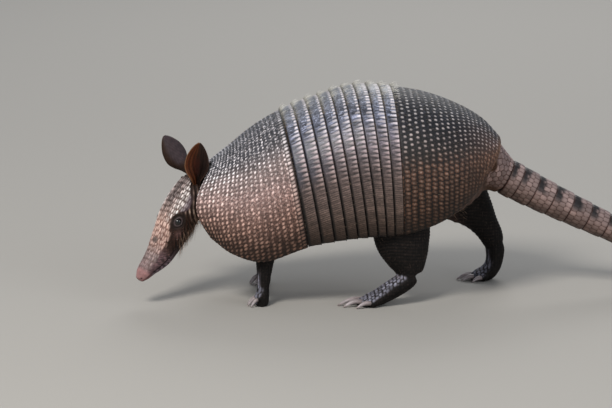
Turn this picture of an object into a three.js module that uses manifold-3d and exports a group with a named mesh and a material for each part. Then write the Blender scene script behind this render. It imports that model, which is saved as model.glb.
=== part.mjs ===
// Nine-banded armadillo (Dasypus novemcinctus), a still, life-size model of an adult.
// Millimetres, +Z up. It faces -X, its tail trails to +X, its left side is -Y, and it stands on z = 0.
// The shell is one surface, shellPoint(u, side), that is cut into the shoulder shield, nine bands and the
// hip shield. Trunk, neck, legs and tail are lofts of rings that meet it with a thin gap.
import * as THREE from 'three';
import { mergeVertices } from 'three/addons/utils/BufferGeometryUtils.js';
import Module from 'manifold-3d';

const wasm = await Module();
wasm.setup();

// ---------------------------------------------------------------- driving dimensions

const GAP = 0.35; // clearance between neighbouring pieces
const SHELL_THICKNESS = 3;
const SHELL_SWEEP = THREE.MathUtils.degToRad(120); // from the middle of the back to the lower edge
const SHELL_COLUMNS = 18; // facets from one lower edge to the other
const FRONT_BOW = 16; // how far the shoulder shield's sides reach ahead of its top
const BAND_COUNT = 9;
const BAND_DIP = 1.1; // the front of a band lies this far below the shell's surface
const BAND_RISE = 0.3; // and its rear edge this far above

// Shell stations. u counts along the body: 0 front rim, 1 first band, 2 hip shield, 3 rear rim.
// Each section leans from its top point to its lower edge.
//   u, top x, top z, low x, low z, half width
const SHELL = [
  [0.0, 211, 137.5, 208, 67, 45],
  [0.3, 231, 153.5, 229, 53, 60],
  [0.6, 251, 170, 259, 46.5, 69],
  [1.0, 280, 187, 303, 61, 74],
  [1.33, 317, 201, 340, 68, 77],
  [1.67, 353, 211, 371, 71, 79],
  [2.0, 390, 209.5, 396, 73, 80],
  [2.35, 425, 203.5, 430, 83, 79],
  [2.65, 458, 191, 457, 98, 69],
  [2.85, 483, 176, 476, 115, 53],
  [3.0, 501, 157, 489, 132, 37],
];
const SHOULDER_ROWS = 6; // facets along the shoulder shield
const NECK_ROWS = 3; // rows of them that the neck fills
const HIP_ROWS = 8; // and along the hip shield
const BELLY_POINTS = 5; // points across the belly between the shell's lower edges
const BELLY_POWER = 0.7; // below 1 the belly is flatter than a sine
const TRUNK_STEPS = [4 / 3, 5 / 3]; // stations of the trunk under the bands
const FLESH_INSET = SHELL_THICKNESS + 0.9; // from the shell's outer surface in to the trunk
const NECK_INSET = FLESH_INSET + 0.8; // and in to the neck
const NECK_CLEARANCE = GAP + 0.3; // between the head and the neck
// The neck's front end, a collar round the head:  distance towards the nose, distance off the head
const NECK_COLLAR = [
  [-5, 2.4],
  [8, -3],
];
// How far the belly hangs below the shell's lower edges:  u, drop
const BELLY_DROP = [
  [0, 4],
  [1, 5],
  [2, 6],
  [2.5, 12],
  [3, 30],
];

// Head, in its own frame: it points along -X, its crown is +Z, its base is the origin.
const HEAD_BASE = [195, 0, 106];
const HEAD_PITCH = THREE.MathUtils.degToRad(-49); // nose down
const HEAD_YAW = THREE.MathUtils.degToRad(33); // and to the left
const HEAD_SIDES = 16;
//   distance towards the nose, top, bottom, half width
const HEAD = [
  [-12, 14, -9, 12],
  [-8, 17.5, -13, 16],
  [0, 19.6, -16, 19.5],
  [14, 20.2, -17, 21.2],
  [34, 19, -17, 20.8],
  [42, 17.6, -17.8, 18.8],
  [50, 15.6, -18.6, 16.5],
  [66, 11.6, -19.2, 13],
  [75, 9.6, -18, 11.8],
  [84, 8.2, -14.4, 10.4],
  [92, 7.6, -10.2, 9.2],
  [99, 6.6, -7.6, 7.6],
  [103.5, 4.6, -5, 5],
];
const NOSE_TIP = [105.4, -0.4]; // distance along the head, height
const NOSE_TAPER = 0.5; // the last ring is drawn in this much towards the tip
const CROWN_THICKNESS = 1.6;
const CROWN_ROWS = 7; // facets along the crown plate
const CROWN_COLUMNS = 6; // and across it
const CROWN_BED_HEIGHT = 1; // how far the bed of the crown plate is cut above it
const CROWN_RADIUS = 16; // of the head below it, to turn a margin into an angle
//   distance towards the nose, half angle of the crown plate about the head's axis, degrees
const CROWN = [
  [-7, 24],
  [2, 34],
  [14, 56],
  [25, 58],
  [35, 37],
  [46, 33],
  [60, 36],
  [70, 28],
];
const EYE = { along: 38.4, height: 7.8, side: 13.3, radius: 5, facets: [8, 6] };
const EAR = { length: 43, halfWidth: 12.2, thickness: 1.3, facets: 6 };
// Each ear's root on the head; where it points and what its opening faces, in the body's own directions.
const EAR_POSES = [
  { name: 'ear_left', root: [5.7, -10.2, 9.9], up: [0.04, -0.14, 1], facing: [-0.36, -0.93, 0] },
  { name: 'ear_right', root: [17.2, 12, 11], up: [-0.59, 0.22, 0.78], facing: [-0.5, 0.86, 0] },
];
//   part of the ear's length, part of its half width, depth of its cup in mm
const EAR_OUTLINE = [
  [0, 0.3, 4.5],
  [0.14, 0.44, 7.5],
  [0.27, 0.74, 8.5],
  [0.44, 1, 7.5],
  [0.66, 0.94, 5],
  [0.83, 0.66, 3],
  [0.94, 0.36, 1.6],
  [1, 0.1, 0.6],
];

// Tail: the line of its middle in the plane y = 0, down to the floor, and its radius.
//   x, z, radius
const TAIL = [
  [500, 120.4, 18.8],
  [528, 105.2, 17.6],
  [556, 90.6, 16.2],
  [612, 63, 13.3],
  [664, 38, 10.7],
  [708, 18.8, 8.3],
  [742, 8.6, 6.3],
  [770, 4.9, 4.9],
  [794, 3.4, 3.5],
  [814, 2, 1.9],
];
const TAIL_ROOT = 8; // distance along the tail where the first ring starts
const TAIL_RINGS = [12.4, 18.2, 20.4, 20.5, 21, 21, 20, 19, 18, 17, 15.5, 14.5]; // lengths of the rings
const TAIL_SIDES = 14;
const TAIL_TIP_ROWS = 6; // facets along the last piece
// The trunk closes round the tail's root:  distance along the tail, distance off the tail
const TAIL_COLLAR = [
  [3.5, 0.6],
  [TAIL_ROOT - GAP, -0.4],
];
// Each ring of the tail flares towards its rear edge, from below the tail's radius to above it.
const RING_FLARE = [-0.6, 0.3];

// Limbs: rows from the body down,  x, y, z, half width across the body, half depth.
const LIMB_SIDES = 10;
const FORE_LEG = [
  [268, -38, 80, 15, 18],
  [264, -41, 62, 12.5, 14],
  [261.5, -44, 46, 9.5, 9.8],
  [260.5, -45, 32, 7.6, 7.6],
  [259.8, -45.5, 20, 6.6, 6.2],
];
const FORE_FOOT = [
  [259.8, -45.5, 23, 4.8, 4.4],
  [259.4, -45.5, 17, 7.4, 6.2],
  [258.8, -46, 10.5, 8.8, 6.6],
  [258.2, -46, 4.5, 9, 6.8],
  [258.2, -46, 0, 8.4, 6.2],
];
const NEAR_HIND_LEG = [
  [392, -38, 104, 26, 30],
  [395.5, -44, 84, 22, 29],
  [398, -47, 64, 18, 28],
  [402, -49, 48, 14.5, 22.5],
  [405, -50, 37, 12, 16.5],
  [407, -50.5, 29.5, 10.5, 11.5],
];
const NEAR_HIND_FOOT = [
  [409.5, -51, 28, 8, 6.5],
  [403, -51.5, 24.5, 10.5, 9.2],
  [393, -52.5, 18.8, 11.5, 9.8],
  [382, -53.5, 12.5, 12.8, 9],
  [372, -54.5, 7.4, 13.8, 7.8],
  [361, -55, 4.4, 13, 5.8],
];
const FAR_HIND_LEG = [
  [452, 36, 108, 24, 34],
  [468, 40, 88, 20, 29],
  [482.5, 43, 72, 16, 20],
  [492.5, 44.5, 58, 12.6, 14.5],
  [499, 45, 47, 11, 12.5],
  [502, 45, 38.5, 9.8, 11],
];
const FAR_HIND_FOOT = [
  [502.6, 45, 42, 7, 7.5],
  [503.4, 45, 33, 9, 10],
  [503.4, 45, 24, 9, 9.2],
  [501, 45, 14.5, 10, 8.6],
  [495, 45.5, 7.4, 11.6, 8.4],
  [485, 46, 4.4, 12, 5.8],
];
const FAR_FORE_SHIFT = 9; // the right fore leg stands this much further back than the left
const TOE_RADIUS = { fore: 3.3, hind: 4.2 };
const TOE_SIDES = 5;
const SHORT_TOE = { root: 0.4, claw: 1.3 }; // parts of a short toe's setback that its root and its claw take
//   part of the toe from root to tip, part of its radius, drop
const TOE_PROFILE = [
  [0, 0.95, 0],
  [0.6, 1, 0.4],
  [1, 0.72, 0],
];
const CLAW_SIDES = 4;
const CLAW_START = 0.15; // part of the toe that the claw's root reaches back from the tip
//   part of the claw, part of the toe's radius across and up, arch as a part of the claw's length
const CLAW_PROFILE = [
  [0, 0.62, 0.6, 0],
  [0.5, 0.5, 0.46, 0.1],
  [1, 0.16, 0.16, 0],
];

// ---------------------------------------------------------------- curves and closed bodies

const lerp = THREE.MathUtils.lerp;
const vector = (x, y, z) => new THREE.Vector3(x, y, z);
const range = (count) => Array.from({ length: count }, (_, k) => k);
const steps = (from, to, count) => range(count + 1).map((k) => lerp(from, to, k / count));

// A smooth function through one column of a table whose first column is the variable.
function curveThrough(table, column) {
  const xs = table.map((row) => row[0]);
  const ys = table.map((row) => row[column]);
  const last = xs.length - 1;
  const slopes = xs.map((_, k) => {
    const before = Math.max(k - 1, 0);
    const after = Math.min(k + 1, last);
    return (ys[after] - ys[before]) / (xs[after] - xs[before]);
  });
  return (x) => {
    const k = THREE.MathUtils.clamp(xs.filter((value) => value <= x).length - 1, 0, last - 1);
    const h = xs[k + 1] - xs[k];
    const t = THREE.MathUtils.clamp((x - xs[k]) / h, 0, 1);
    const rise = (3 - 2 * t) * t * t;
    const start = h * slopes[k] * t * (1 - t) ** 2;
    const end = h * slopes[k + 1] * t * t * (t - 1);
    return lerp(ys[k], ys[k + 1], rise) + start + end;
  };
}

// A closed body from points and triangles, turned so that its faces point out.
function closedBody(points, triangles) {
  let volume = 0;
  for (let k = 0; k < triangles.length; k += 3) {
    const [a, b, c] = triangles.slice(k, k + 3).map((index) => points[index]);
    volume += a.dot(b.clone().cross(c));
  }
  const geometry = new THREE.BufferGeometry();
  geometry.setAttribute('position', new THREE.Float32BufferAttribute(points.flatMap((p) => p.toArray()), 3));
  geometry.setIndex(volume < 0 ? triangles.toReversed() : triangles);
  return geometry;
}

// Rings with the same number of points, joined one to the next and closed at both ends.
function loft(rings) {
  const count = rings[0].length;
  const points = rings.flat();
  const triangles = [];
  for (let row = 0; row < rings.length - 1; row += 1) {
    for (const k of range(count)) {
      const a = row * count + k;
      const b = row * count + ((k + 1) % count);
      triangles.push(a, b, b + count, a, b + count, a + count);
    }
  }
  const capEnd = (row, turned) => {
    const middle = vector(0, 0, 0);
    rings[row].forEach((p) => middle.addScaledVector(p, 1 / count));
    const centre = points.push(middle) - 1;
    for (const k of range(count)) {
      const edge = [row * count + k, row * count + ((k + 1) % count)];
      triangles.push(centre, ...(turned ? edge.reverse() : edge));
    }
  };
  capEnd(0, true);
  capEnd(rings.length - 1, false);
  return closedBody(points, triangles);
}

// The grid moved along its own normals; distance depends on the row.
function offsetGrid(grid, distance) {
  const rows = grid.length - 1;
  const columns = grid[0].length - 1;
  return grid.map((line, i) =>
    line.map((point, j) => {
      const along = grid[Math.min(i + 1, rows)][j].clone().sub(grid[Math.max(i - 1, 0)][j]);
      const across = line[Math.min(j + 1, columns)].clone().sub(line[Math.max(j - 1, 0)]);
      return point.clone().addScaledVector(along.cross(across).normalize(), distance(i));
    }),
  );
}

// A curved plate between an outer and an inner grid of points.
function plate(outer, inner) {
  const rows = outer.length;
  const columns = outer[0].length;
  const points = [...outer.flat(), ...inner.flat()];
  const under = rows * columns;
  const triangles = [];
  const quad = (a, b, c, d) => triangles.push(a, b, c, a, c, d);
  const at = (i, j) => i * columns + j;
  for (const i of range(rows - 1)) {
    for (const j of range(columns - 1)) {
      quad(at(i, j), at(i + 1, j), at(i + 1, j + 1), at(i, j + 1));
      quad(under + at(i, j), under + at(i, j + 1), under + at(i + 1, j + 1), under + at(i + 1, j));
    }
    const end = columns - 1;
    quad(at(i, 0), under + at(i, 0), under + at(i + 1, 0), at(i + 1, 0));
    quad(at(i, end), at(i + 1, end), under + at(i + 1, end), under + at(i, end));
  }
  for (const j of range(columns - 1)) {
    const end = rows - 1;
    quad(at(0, j), at(0, j + 1), under + at(0, j + 1), under + at(0, j));
    quad(at(end, j), under + at(end, j), under + at(end, j + 1), at(end, j + 1));
  }
  return closedBody(points, triangles);
}

// A ring of points across a path: its width lies along the body's left-right axis.
function crossRing(centre, direction, halfWidth, halfDepth, sides) {
  const across = vector(0, 1, 0).addScaledVector(direction, -direction.y).normalize();
  const deep = direction.clone().cross(across);
  return range(sides).map((k) => {
    const angle = (2 * Math.PI * k) / sides;
    return centre
      .clone()
      .addScaledVector(across, halfWidth * Math.cos(angle))
      .addScaledVector(deep, halfDepth * Math.sin(angle));
  });
}

// A limb or toe through rows of x, y, z, half width, half depth, made fatter and longer by grow.
function limb(rows, sides, grow = 0) {
  const centres = rows.map(([x, y, z]) => vector(x, y, z));
  const last = rows.length - 1;
  const rings = rows.map((row, k) => {
    const direction = centres[Math.min(k + 1, last)].clone().sub(centres[Math.max(k - 1, 0)]).normalize();
    const reach = k === 0 ? -grow : k === last ? grow : 0;
    const centre = centres[k].clone().addScaledVector(direction, reach);
    return crossRing(centre, direction, row[3] + grow, row[4] + grow, sides);
  });
  return loft(rings);
}

// ---------------------------------------------------------------- solids

function toSolid(geometry, matrix = new THREE.Matrix4()) {
  const bare = geometry.clone().applyMatrix4(matrix);
  bare.deleteAttribute('normal');
  bare.deleteAttribute('uv');
  const merged = mergeVertices(bare, 1e-4);
  return new wasm.Manifold(
    new wasm.Mesh({
      numProp: 3,
      vertProperties: new Float32Array(merged.attributes.position.array),
      triVerts: new Uint32Array(merged.index.array),
    }),
  );
}

function toGeometry(solid) {
  const mesh = solid.getMesh();
  const geometry = new THREE.BufferGeometry();
  geometry.setAttribute('position', new THREE.BufferAttribute(mesh.vertProperties, 3));
  geometry.setIndex(new THREE.BufferAttribute(mesh.triVerts, 1));
  return geometry;
}

// What lies below the floor, as a solid that flattens every sole.
const UNDERGROUND = toSolid(new THREE.BoxGeometry(1000, 400, 100).translate(500, 0, -50));

const material = (color, roughness) => new THREE.MeshStandardMaterial({ color, roughness, metalness: 0 });
const SHELL_MATERIAL = material(0x7a6c66, 0.6);
const BAND_MATERIAL = material(0x6e6666, 0.5);
const SKIN_MATERIAL = material(0x4a3c37, 0.75);
const FOOT_MATERIAL = material(0x2f2723, 0.7);
const TAIL_MATERIAL = material(0x6a5a55, 0.65);
const CLAW_MATERIAL = material(0xa89ea0, 0.45);
const EYE_MATERIAL = material(0x0c0908, 0.1);

const model = new THREE.Group();

function addPiece(name, geometry, surface, parent = model) {
  const mesh = new THREE.Mesh(geometry, surface.clone());
  mesh.name = name;
  parent.add(mesh);
  return mesh;
}

// ---------------------------------------------------------------- shell

const topX = curveThrough(SHELL, 1);
const topZ = curveThrough(SHELL, 2);
const lowX = curveThrough(SHELL, 3);
const lowZ = curveThrough(SHELL, 4);
const shellHalfWidth = curveThrough(SHELL, 5);
const bellyDrop = curveThrough(BELLY_DROP, 1);

// The shell's outer surface: side runs from -1 at the left lower edge over the back to 1 at the right one.
function shellPoint(u, side) {
  const angle = side * SHELL_SWEEP;
  const down = (1 - Math.cos(angle)) / (1 - Math.cos(SHELL_SWEEP));
  const bow = FRONT_BOW * Math.max(1 - u, 0) ** 2 * Math.sin(Math.PI * down);
  return vector(
    lerp(topX(u), lowX(u), down) - bow,
    shellHalfWidth(u) * Math.sin(angle),
    lerp(topZ(u), lowZ(u), down),
  );
}

const shellGrid = (us) => us.map((u) => steps(-1, 1, SHELL_COLUMNS).map((side) => shellPoint(u, side)));
const GAP_U = 0.0028; // half a gap between two bands, as a step of u
const shoulderSteps = steps(0, 1 - GAP_U, SHOULDER_ROWS);
const hipSteps = steps(2 + GAP_U, 3, HIP_ROWS);

function shield(us) {
  const outer = shellGrid(us);
  return plate(outer, offsetGrid(outer, () => -SHELL_THICKNESS));
}

function band(from, to) {
  const surface = shellGrid([from, to]);
  const outer = offsetGrid(surface, (row) => (row === 0 ? -BAND_DIP : BAND_RISE));
  return plate(outer, offsetGrid(surface, () => -SHELL_THICKNESS));
}

addPiece('scapular_shield', shield(shoulderSteps), SHELL_MATERIAL);
for (const k of range(BAND_COUNT)) {
  const from = 1 + k / BAND_COUNT + GAP_U;
  const to = 1 + (k + 1) / BAND_COUNT - GAP_U;
  addPiece(`band_${k + 1}`, band(from, to), BAND_MATERIAL);
}
addPiece('pelvic_shield', shield(hipSteps), SHELL_MATERIAL);

// ---------------------------------------------------------------- trunk

// Closed rings just inside (or outside) the shell, carried across the belly.
function bodyRings(us, distance) {
  return offsetGrid(shellGrid(us), () => distance).map((row, i) => {
    const left = row[0];
    const right = row[row.length - 1];
    const drop = bellyDrop(us[i]) + Math.max(distance, 0);
    const belly = range(BELLY_POINTS).map((k) => {
      const across = (k + 1) / (BELLY_POINTS + 1);
      const point = right.clone().lerp(left, across);
      point.z -= drop * Math.sin(Math.PI * across) ** BELLY_POWER;
      return point;
    });
    return [...row, ...belly];
  });
}

const tailX = (s) => tailLine(s).x;
const tailPath = new THREE.CatmullRomCurve3(TAIL.map(([x, z]) => vector(x, 0, z)), false, 'centripetal');
tailPath.arcLengthDivisions = 400;
const tailLength = tailPath.getLength();
const tailRadiusAt = curveThrough(TAIL.map(([x, , radius]) => [x, radius]), 1);
function tailLine(s) {
  return tailPath.getPointAt(Math.min(s / tailLength, 1));
}

// A ring across the tail, its points starting at the lower left and passing over the top.
function tailRing(s, radius, sides, start = -Math.PI) {
  const centre = tailLine(s);
  const direction = tailPath.getTangentAt(Math.min(s / tailLength, 1));
  const up = vector(-direction.z, 0, direction.x);
  return range(sides).map((k) => {
    const angle = start + (2 * Math.PI * k) / sides;
    const point = centre.clone().addScaledVector(up, radius * Math.cos(angle));
    return point.add(vector(0, radius * Math.sin(angle), 0));
  });
}

const ringPoints = SHELL_COLUMNS + 1 + BELLY_POINTS;
const ringStart = -(Math.PI * (SHELL_COLUMNS / 2)) / (ringPoints / 2);
const bodySteps = [...shoulderSteps, ...TRUNK_STEPS, ...hipSteps];
const innerRings = bodyRings(bodySteps, -FLESH_INSET);
const tailCollar = TAIL_COLLAR.map(([s, off]) =>
  tailRing(s, tailRadiusAt(tailX(s)) + off, ringPoints, ringStart),
);
const trunkRings = [...innerRings.slice(NECK_ROWS - 1), ...tailCollar];
const trunk = addPiece('trunk', loft(trunkRings), SKIN_MATERIAL);

// Everything above the belly line, with a gap, as the solid that the legs stop at.
const bodyEnvelope = toSolid(loft(bodyRings(bodySteps, GAP)));

// ---------------------------------------------------------------- head

const headGroup = new THREE.Group();
headGroup.position.set(...HEAD_BASE);
headGroup.rotation.set(0, HEAD_PITCH, HEAD_YAW, 'ZYX');
model.add(headGroup);
headGroup.updateMatrixWorld(true);

const headTop = curveThrough(HEAD, 1);
const headBottom = curveThrough(HEAD, 2);
const headHalfWidth = curveThrough(HEAD, 3);

// A point of the head's surface, by distance towards the nose and angle from the crown.
function headPoint(along, angle, grow = 0) {
  const middle = (headTop(along) + headBottom(along)) / 2;
  const halfHeight = (headTop(along) - headBottom(along)) / 2 + grow;
  return vector(-along, (headHalfWidth(along) + grow) * Math.sin(angle), middle + halfHeight * Math.cos(angle));
}

function headSolid(grow) {
  const rings = HEAD.map(([along], k) => {
    const reach = k === 0 ? -grow : k === HEAD.length - 1 ? grow : 0;
    return range(HEAD_SIDES).map((j) => {
      const point = headPoint(along, (2 * Math.PI * j) / HEAD_SIDES, grow);
      point.x -= reach;
      return point;
    });
  });
  const [tip, height] = NOSE_TIP;
  const nose = rings.at(-1).map((p) =>
    vector(-tip - grow, lerp(p.y, 0, NOSE_TAPER), lerp(p.z, height, NOSE_TAPER)),
  );
  return toSolid(loft([...rings, nose]));
}

// The crown plate lies in a shallow bed on the head; the bed is the same plate, a little larger.
const crownAngle = curveThrough(CROWN, 1);
function crownPlate(depth, height, margin) {
  const from = CROWN[0][0] - margin;
  const to = CROWN.at(-1)[0] + margin;
  const grid = steps(from, to, CROWN_ROWS).map((along) => {
    const half = THREE.MathUtils.degToRad(crownAngle(along)) + margin / CROWN_RADIUS;
    return steps(-half, half, CROWN_COLUMNS).map((angle) => headPoint(along, angle));
  });
  // The grid's rows run towards the nose, so its normals point into the head.
  return plate(offsetGrid(grid, () => -height), offsetGrid(grid, () => depth));
}

const eyeCentre = (side) => vector(-EYE.along, side * EYE.side, EYE.height);
const eyeball = (radius) => new THREE.SphereGeometry(radius, ...EYE.facets);
let headBody = headSolid(0).subtract(toSolid(crownPlate(CROWN_THICKNESS + GAP, CROWN_BED_HEIGHT, GAP)));
for (const side of [-1, 1]) {
  headBody = headBody.subtract(toSolid(eyeball(EYE.radius + GAP).translate(...eyeCentre(side))));
}

// An ear: a leaf cupped towards -X that grows up from its root at the origin, made fatter by grow.
const earWidthAt = curveThrough(EAR_OUTLINE, 1);
const earCupAt = curveThrough(EAR_OUTLINE, 2);
function ear(grow) {
  const back = steps(-grow / EAR.length, 1, EAR.facets).map((part) => {
    const halfWidth = EAR.halfWidth * earWidthAt(part);
    return steps(-1, 1, EAR.facets).map((side) => {
      const across = side * (1 + grow / halfWidth);
      return vector(-earCupAt(part) * across ** 2, halfWidth * across, EAR.length * part);
    });
  });
  return plate(offsetGrid(back, () => -grow), offsetGrid(back, () => EAR.thickness + grow));
}

const headWorld = headGroup.matrixWorld;
const headInverse = headWorld.clone().invert();
const earBeds = [];
for (const pose of EAR_POSES) {
  const up = vector(...pose.up).normalize();
  const back = vector(...pose.facing).negate();
  back.addScaledVector(up, -back.dot(up)).normalize();
  const group = new THREE.Group();
  group.quaternion.setFromRotationMatrix(new THREE.Matrix4().makeBasis(back, up.clone().cross(back), up));
  group.position.set(...pose.root).applyMatrix4(headWorld);
  model.add(group);
  group.updateMatrixWorld(true);
  earBeds.push(toSolid(ear(GAP), group.matrixWorld));
  addPiece(pose.name, ear(0), SKIN_MATERIAL, group);
}
for (const bed of earBeds) {
  headBody = headBody.subtract(bed.transform(headInverse.elements));
}
addPiece('head', toGeometry(headBody), SKIN_MATERIAL, headGroup);
addPiece('head_shield', crownPlate(CROWN_THICKNESS, 0, 0), SHELL_MATERIAL, headGroup);
addPiece('eye_left', eyeball(EYE.radius), EYE_MATERIAL, headGroup).position.copy(eyeCentre(-1));
addPiece('eye_right', eyeball(EYE.radius), EYE_MATERIAL, headGroup).position.copy(eyeCentre(1));

// ---------------------------------------------------------------- neck

// From the trunk's front face it follows the inside of the shoulder shield and narrows into the head.
const neckBack = innerRings[NECK_ROWS - 1].map((point) => point.clone().add(vector(-GAP, 0, 0)));
const neckRings = bodyRings(bodySteps, -NECK_INSET).slice(0, NECK_ROWS - 1).toReversed();
const headRing = (along, grow) =>
  range(ringPoints).map((k) => {
    const angle = ringStart + (2 * Math.PI * k) / ringPoints;
    return headPoint(along, angle, grow).applyMatrix4(headWorld);
  });
const neckFront = NECK_COLLAR.map(([along, off]) => headRing(along, off));
let neckSolid = toSolid(loft([neckBack, ...neckRings, ...neckFront]));
neckSolid = neckSolid.subtract(headSolid(NECK_CLEARANCE).transform(headWorld.elements));
for (const bed of earBeds) {
  neckSolid = neckSolid.subtract(bed);
}
addPiece('neck', toGeometry(neckSolid), SKIN_MATERIAL);

// ---------------------------------------------------------------- tail

let ringFrom = TAIL_ROOT;
TAIL_RINGS.forEach((length, k) => {
  const from = ringFrom + GAP / 2;
  const to = ringFrom + length - GAP / 2;
  const rings = [from, to].map((s, end) => tailRing(s, tailRadiusAt(tailX(s)) + RING_FLARE[end], TAIL_SIDES));
  addPiece(`tail_ring_${k + 1}`, loft(rings), TAIL_MATERIAL);
  ringFrom += length;
});
const tipRings = steps(ringFrom + GAP / 2, tailLength, TAIL_TIP_ROWS).map((s) =>
  tailRing(s, tailRadiusAt(tailX(s)), TAIL_SIDES),
);
addPiece('tail_tip', toGeometry(toSolid(loft(tipRings)).subtract(UNDERGROUND)), TAIL_MATERIAL);

// ---------------------------------------------------------------- legs, feet, claws

// Toes fan out from a knuckle line. Each toe is a short limb that ends in a claw.
function toeRows({ root, tip }, radius) {
  return TOE_PROFILE.map(([part, size, drop]) => {
    const [x, y, z] = root.map((value, axis) => lerp(value, tip[axis], part));
    return [x, y, z - drop, radius * size, radius * size];
  });
}

function clawRows({ root, tip, claw }, radius) {
  const start = vector(...tip).lerp(vector(...root), CLAW_START);
  const end = vector(...claw);
  return CLAW_PROFILE.map(([part, across, up, arch]) => {
    const centre = start.clone().lerp(end, part);
    return [centre.x, centre.y, centre.z + start.distanceTo(end) * arch, radius * across, radius * up];
  });
}

const mirrored = (rows) => rows.map(([x, y, z, ...sizes]) => [x + FAR_FORE_SHIFT, -y, z, ...sizes]);
const mirroredPoint = ([x, y, z]) => [x + FAR_FORE_SHIFT, -y, z];

// Toes listed from the inner to the outer side: root and tip of the toe, tip of its claw.
function toeFan({ root, tip, claw, spread, lengths }) {
  return lengths.map((length, k) => {
    const part = (2 * k) / (lengths.length - 1) - 1;
    const fan = ([x, y, z], width, reach) => [x + reach, y + part * width, z];
    const back = (1 - length) * spread.reach;
    return {
      root: fan(root, spread.root, back * SHORT_TOE.root),
      tip: fan(tip, spread.tip, back),
      claw: fan(claw, spread.claw, back * SHORT_TOE.claw),
    };
  });
}

const FORE_TOES = toeFan({
  root: [256.6, -46, 12],
  tip: [251, -46.5, 6.6],
  claw: [243.5, -47, 0.4],
  spread: { root: 5.4, tip: 7.8, claw: 8.8, reach: 7 },
  lengths: [0.7, 1, 0.95, 0.6],
});
const NEAR_HIND_TOES = toeFan({
  root: [368, -54.7, 7],
  tip: [350, -55.5, 3.2],
  claw: [332, -56.5, 0.6],
  spread: { root: 8.6, tip: 12.4, claw: 14, reach: 24 },
  lengths: [0.45, 0.85, 1, 0.85, 0.4],
});
const FAR_HIND_TOES = toeFan({
  root: [489, 45.5, 6.5],
  tip: [477, 46, 3.2],
  claw: [464, 46, 0.6],
  spread: { root: 8.2, tip: 12, claw: 13.6, reach: 20 },
  lengths: [0.45, 0.85, 1, 0.85, 0.4],
});

function addLimb(name, legRows, footRows, toes, toeRadius) {
  const legSolid = toSolid(limb(legRows, LIMB_SIDES)).subtract(bodyEnvelope);
  const grownLeg = toSolid(limb(legRows, LIMB_SIDES, GAP));
  const foot = (grow) =>
    toes.reduce(
      (solid, toe) => solid.add(toSolid(limb(toeRows(toe, toeRadius), TOE_SIDES, grow))),
      toSolid(limb(footRows, LIMB_SIDES, grow)),
    );
  addPiece(`leg_${name}`, toGeometry(legSolid), FOOT_MATERIAL);
  addPiece(`foot_${name}`, toGeometry(foot(0).subtract(grownLeg).subtract(UNDERGROUND)), FOOT_MATERIAL);
  const grownFoot = foot(GAP);
  toes.forEach((toe, k) => {
    const claw = toSolid(limb(clawRows(toe, toeRadius), CLAW_SIDES)).subtract(grownFoot).subtract(UNDERGROUND);
    addPiece(`claw_${name}_${k + 1}`, toGeometry(claw), CLAW_MATERIAL);
  });
}

const rightForeToes = FORE_TOES.map(({ root, tip, claw }) => ({
  root: mirroredPoint(root),
  tip: mirroredPoint(tip),
  claw: mirroredPoint(claw),
}));
addLimb('fore_left', FORE_LEG, FORE_FOOT, FORE_TOES, TOE_RADIUS.fore);
addLimb('fore_right', mirrored(FORE_LEG), mirrored(FORE_FOOT), rightForeToes, TOE_RADIUS.fore);
addLimb('hind_left', NEAR_HIND_LEG, NEAR_HIND_FOOT, NEAR_HIND_TOES, TOE_RADIUS.hind);
addLimb('hind_right', FAR_HIND_LEG, FAR_HIND_FOOT, FAR_HIND_TOES, TOE_RADIUS.hind);

// ---------------------------------------------------------------- origin at the bottom centre

const box = new THREE.Box3().setFromObject(model, true);
model.position.set(-(box.min.x + box.max.x) / 2, -(box.min.y + box.max.y) / 2, -box.min.z);

export default model;
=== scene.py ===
"""Looks of a life-size nine-banded armadillo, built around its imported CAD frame.

Shapes are worked out in millimetres in the part's own layout, where the shell's front rim is at x = 211.
place_points() takes them to metres and to the frame's origin. The tables of sizes repeat the solids'."""

import math

import bmesh
import bpy
import numpy as np
from mathutils import Matrix, Vector
from mathutils.kdtree import KDTree


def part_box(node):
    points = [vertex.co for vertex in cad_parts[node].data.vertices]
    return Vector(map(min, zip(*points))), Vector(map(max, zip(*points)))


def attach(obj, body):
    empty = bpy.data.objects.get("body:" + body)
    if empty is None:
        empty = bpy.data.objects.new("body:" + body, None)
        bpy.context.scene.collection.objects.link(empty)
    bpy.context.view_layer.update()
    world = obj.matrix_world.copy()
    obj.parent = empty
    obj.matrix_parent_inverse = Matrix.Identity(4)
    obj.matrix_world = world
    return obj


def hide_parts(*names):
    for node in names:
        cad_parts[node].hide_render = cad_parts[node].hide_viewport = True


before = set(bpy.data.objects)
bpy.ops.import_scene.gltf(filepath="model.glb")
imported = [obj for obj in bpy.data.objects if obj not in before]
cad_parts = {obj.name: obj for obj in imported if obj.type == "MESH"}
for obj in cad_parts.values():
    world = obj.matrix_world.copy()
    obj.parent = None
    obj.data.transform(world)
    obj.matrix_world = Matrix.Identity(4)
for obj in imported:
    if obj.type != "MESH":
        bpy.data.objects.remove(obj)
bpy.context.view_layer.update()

# ---- sizes shared with the solids

SHELL_SWEEP = math.radians(120)
FRONT_BOW = 16
SHELL_THICKNESS = 3
BAND_COUNT = 9
GAP_U = 0.0028
# u, top x, top z, low x, low z, half width
SHELL = [
    (0.0, 211, 137.5, 208, 67, 45), (0.3, 231, 153.5, 229, 53, 60), (0.6, 251, 170, 259, 46.5, 69),
    (1.0, 280, 187, 303, 61, 74), (1.33, 317, 201, 340, 68, 77), (1.67, 353, 211, 371, 71, 79),
    (2.0, 390, 209.5, 396, 73, 80), (2.35, 425, 203.5, 430, 83, 79), (2.65, 458, 191, 457, 98, 69),
    (2.85, 483, 176, 476, 115, 53), (3.0, 501, 157, 489, 132, 37),
]
BELLY_DROP = [(0, 4), (1, 5), (2, 6), (2.5, 12), (3, 30)]

HEAD_BASE = (195, 0, 106)
HEAD_PITCH = math.radians(-49)
HEAD_YAW = math.radians(33)
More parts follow.
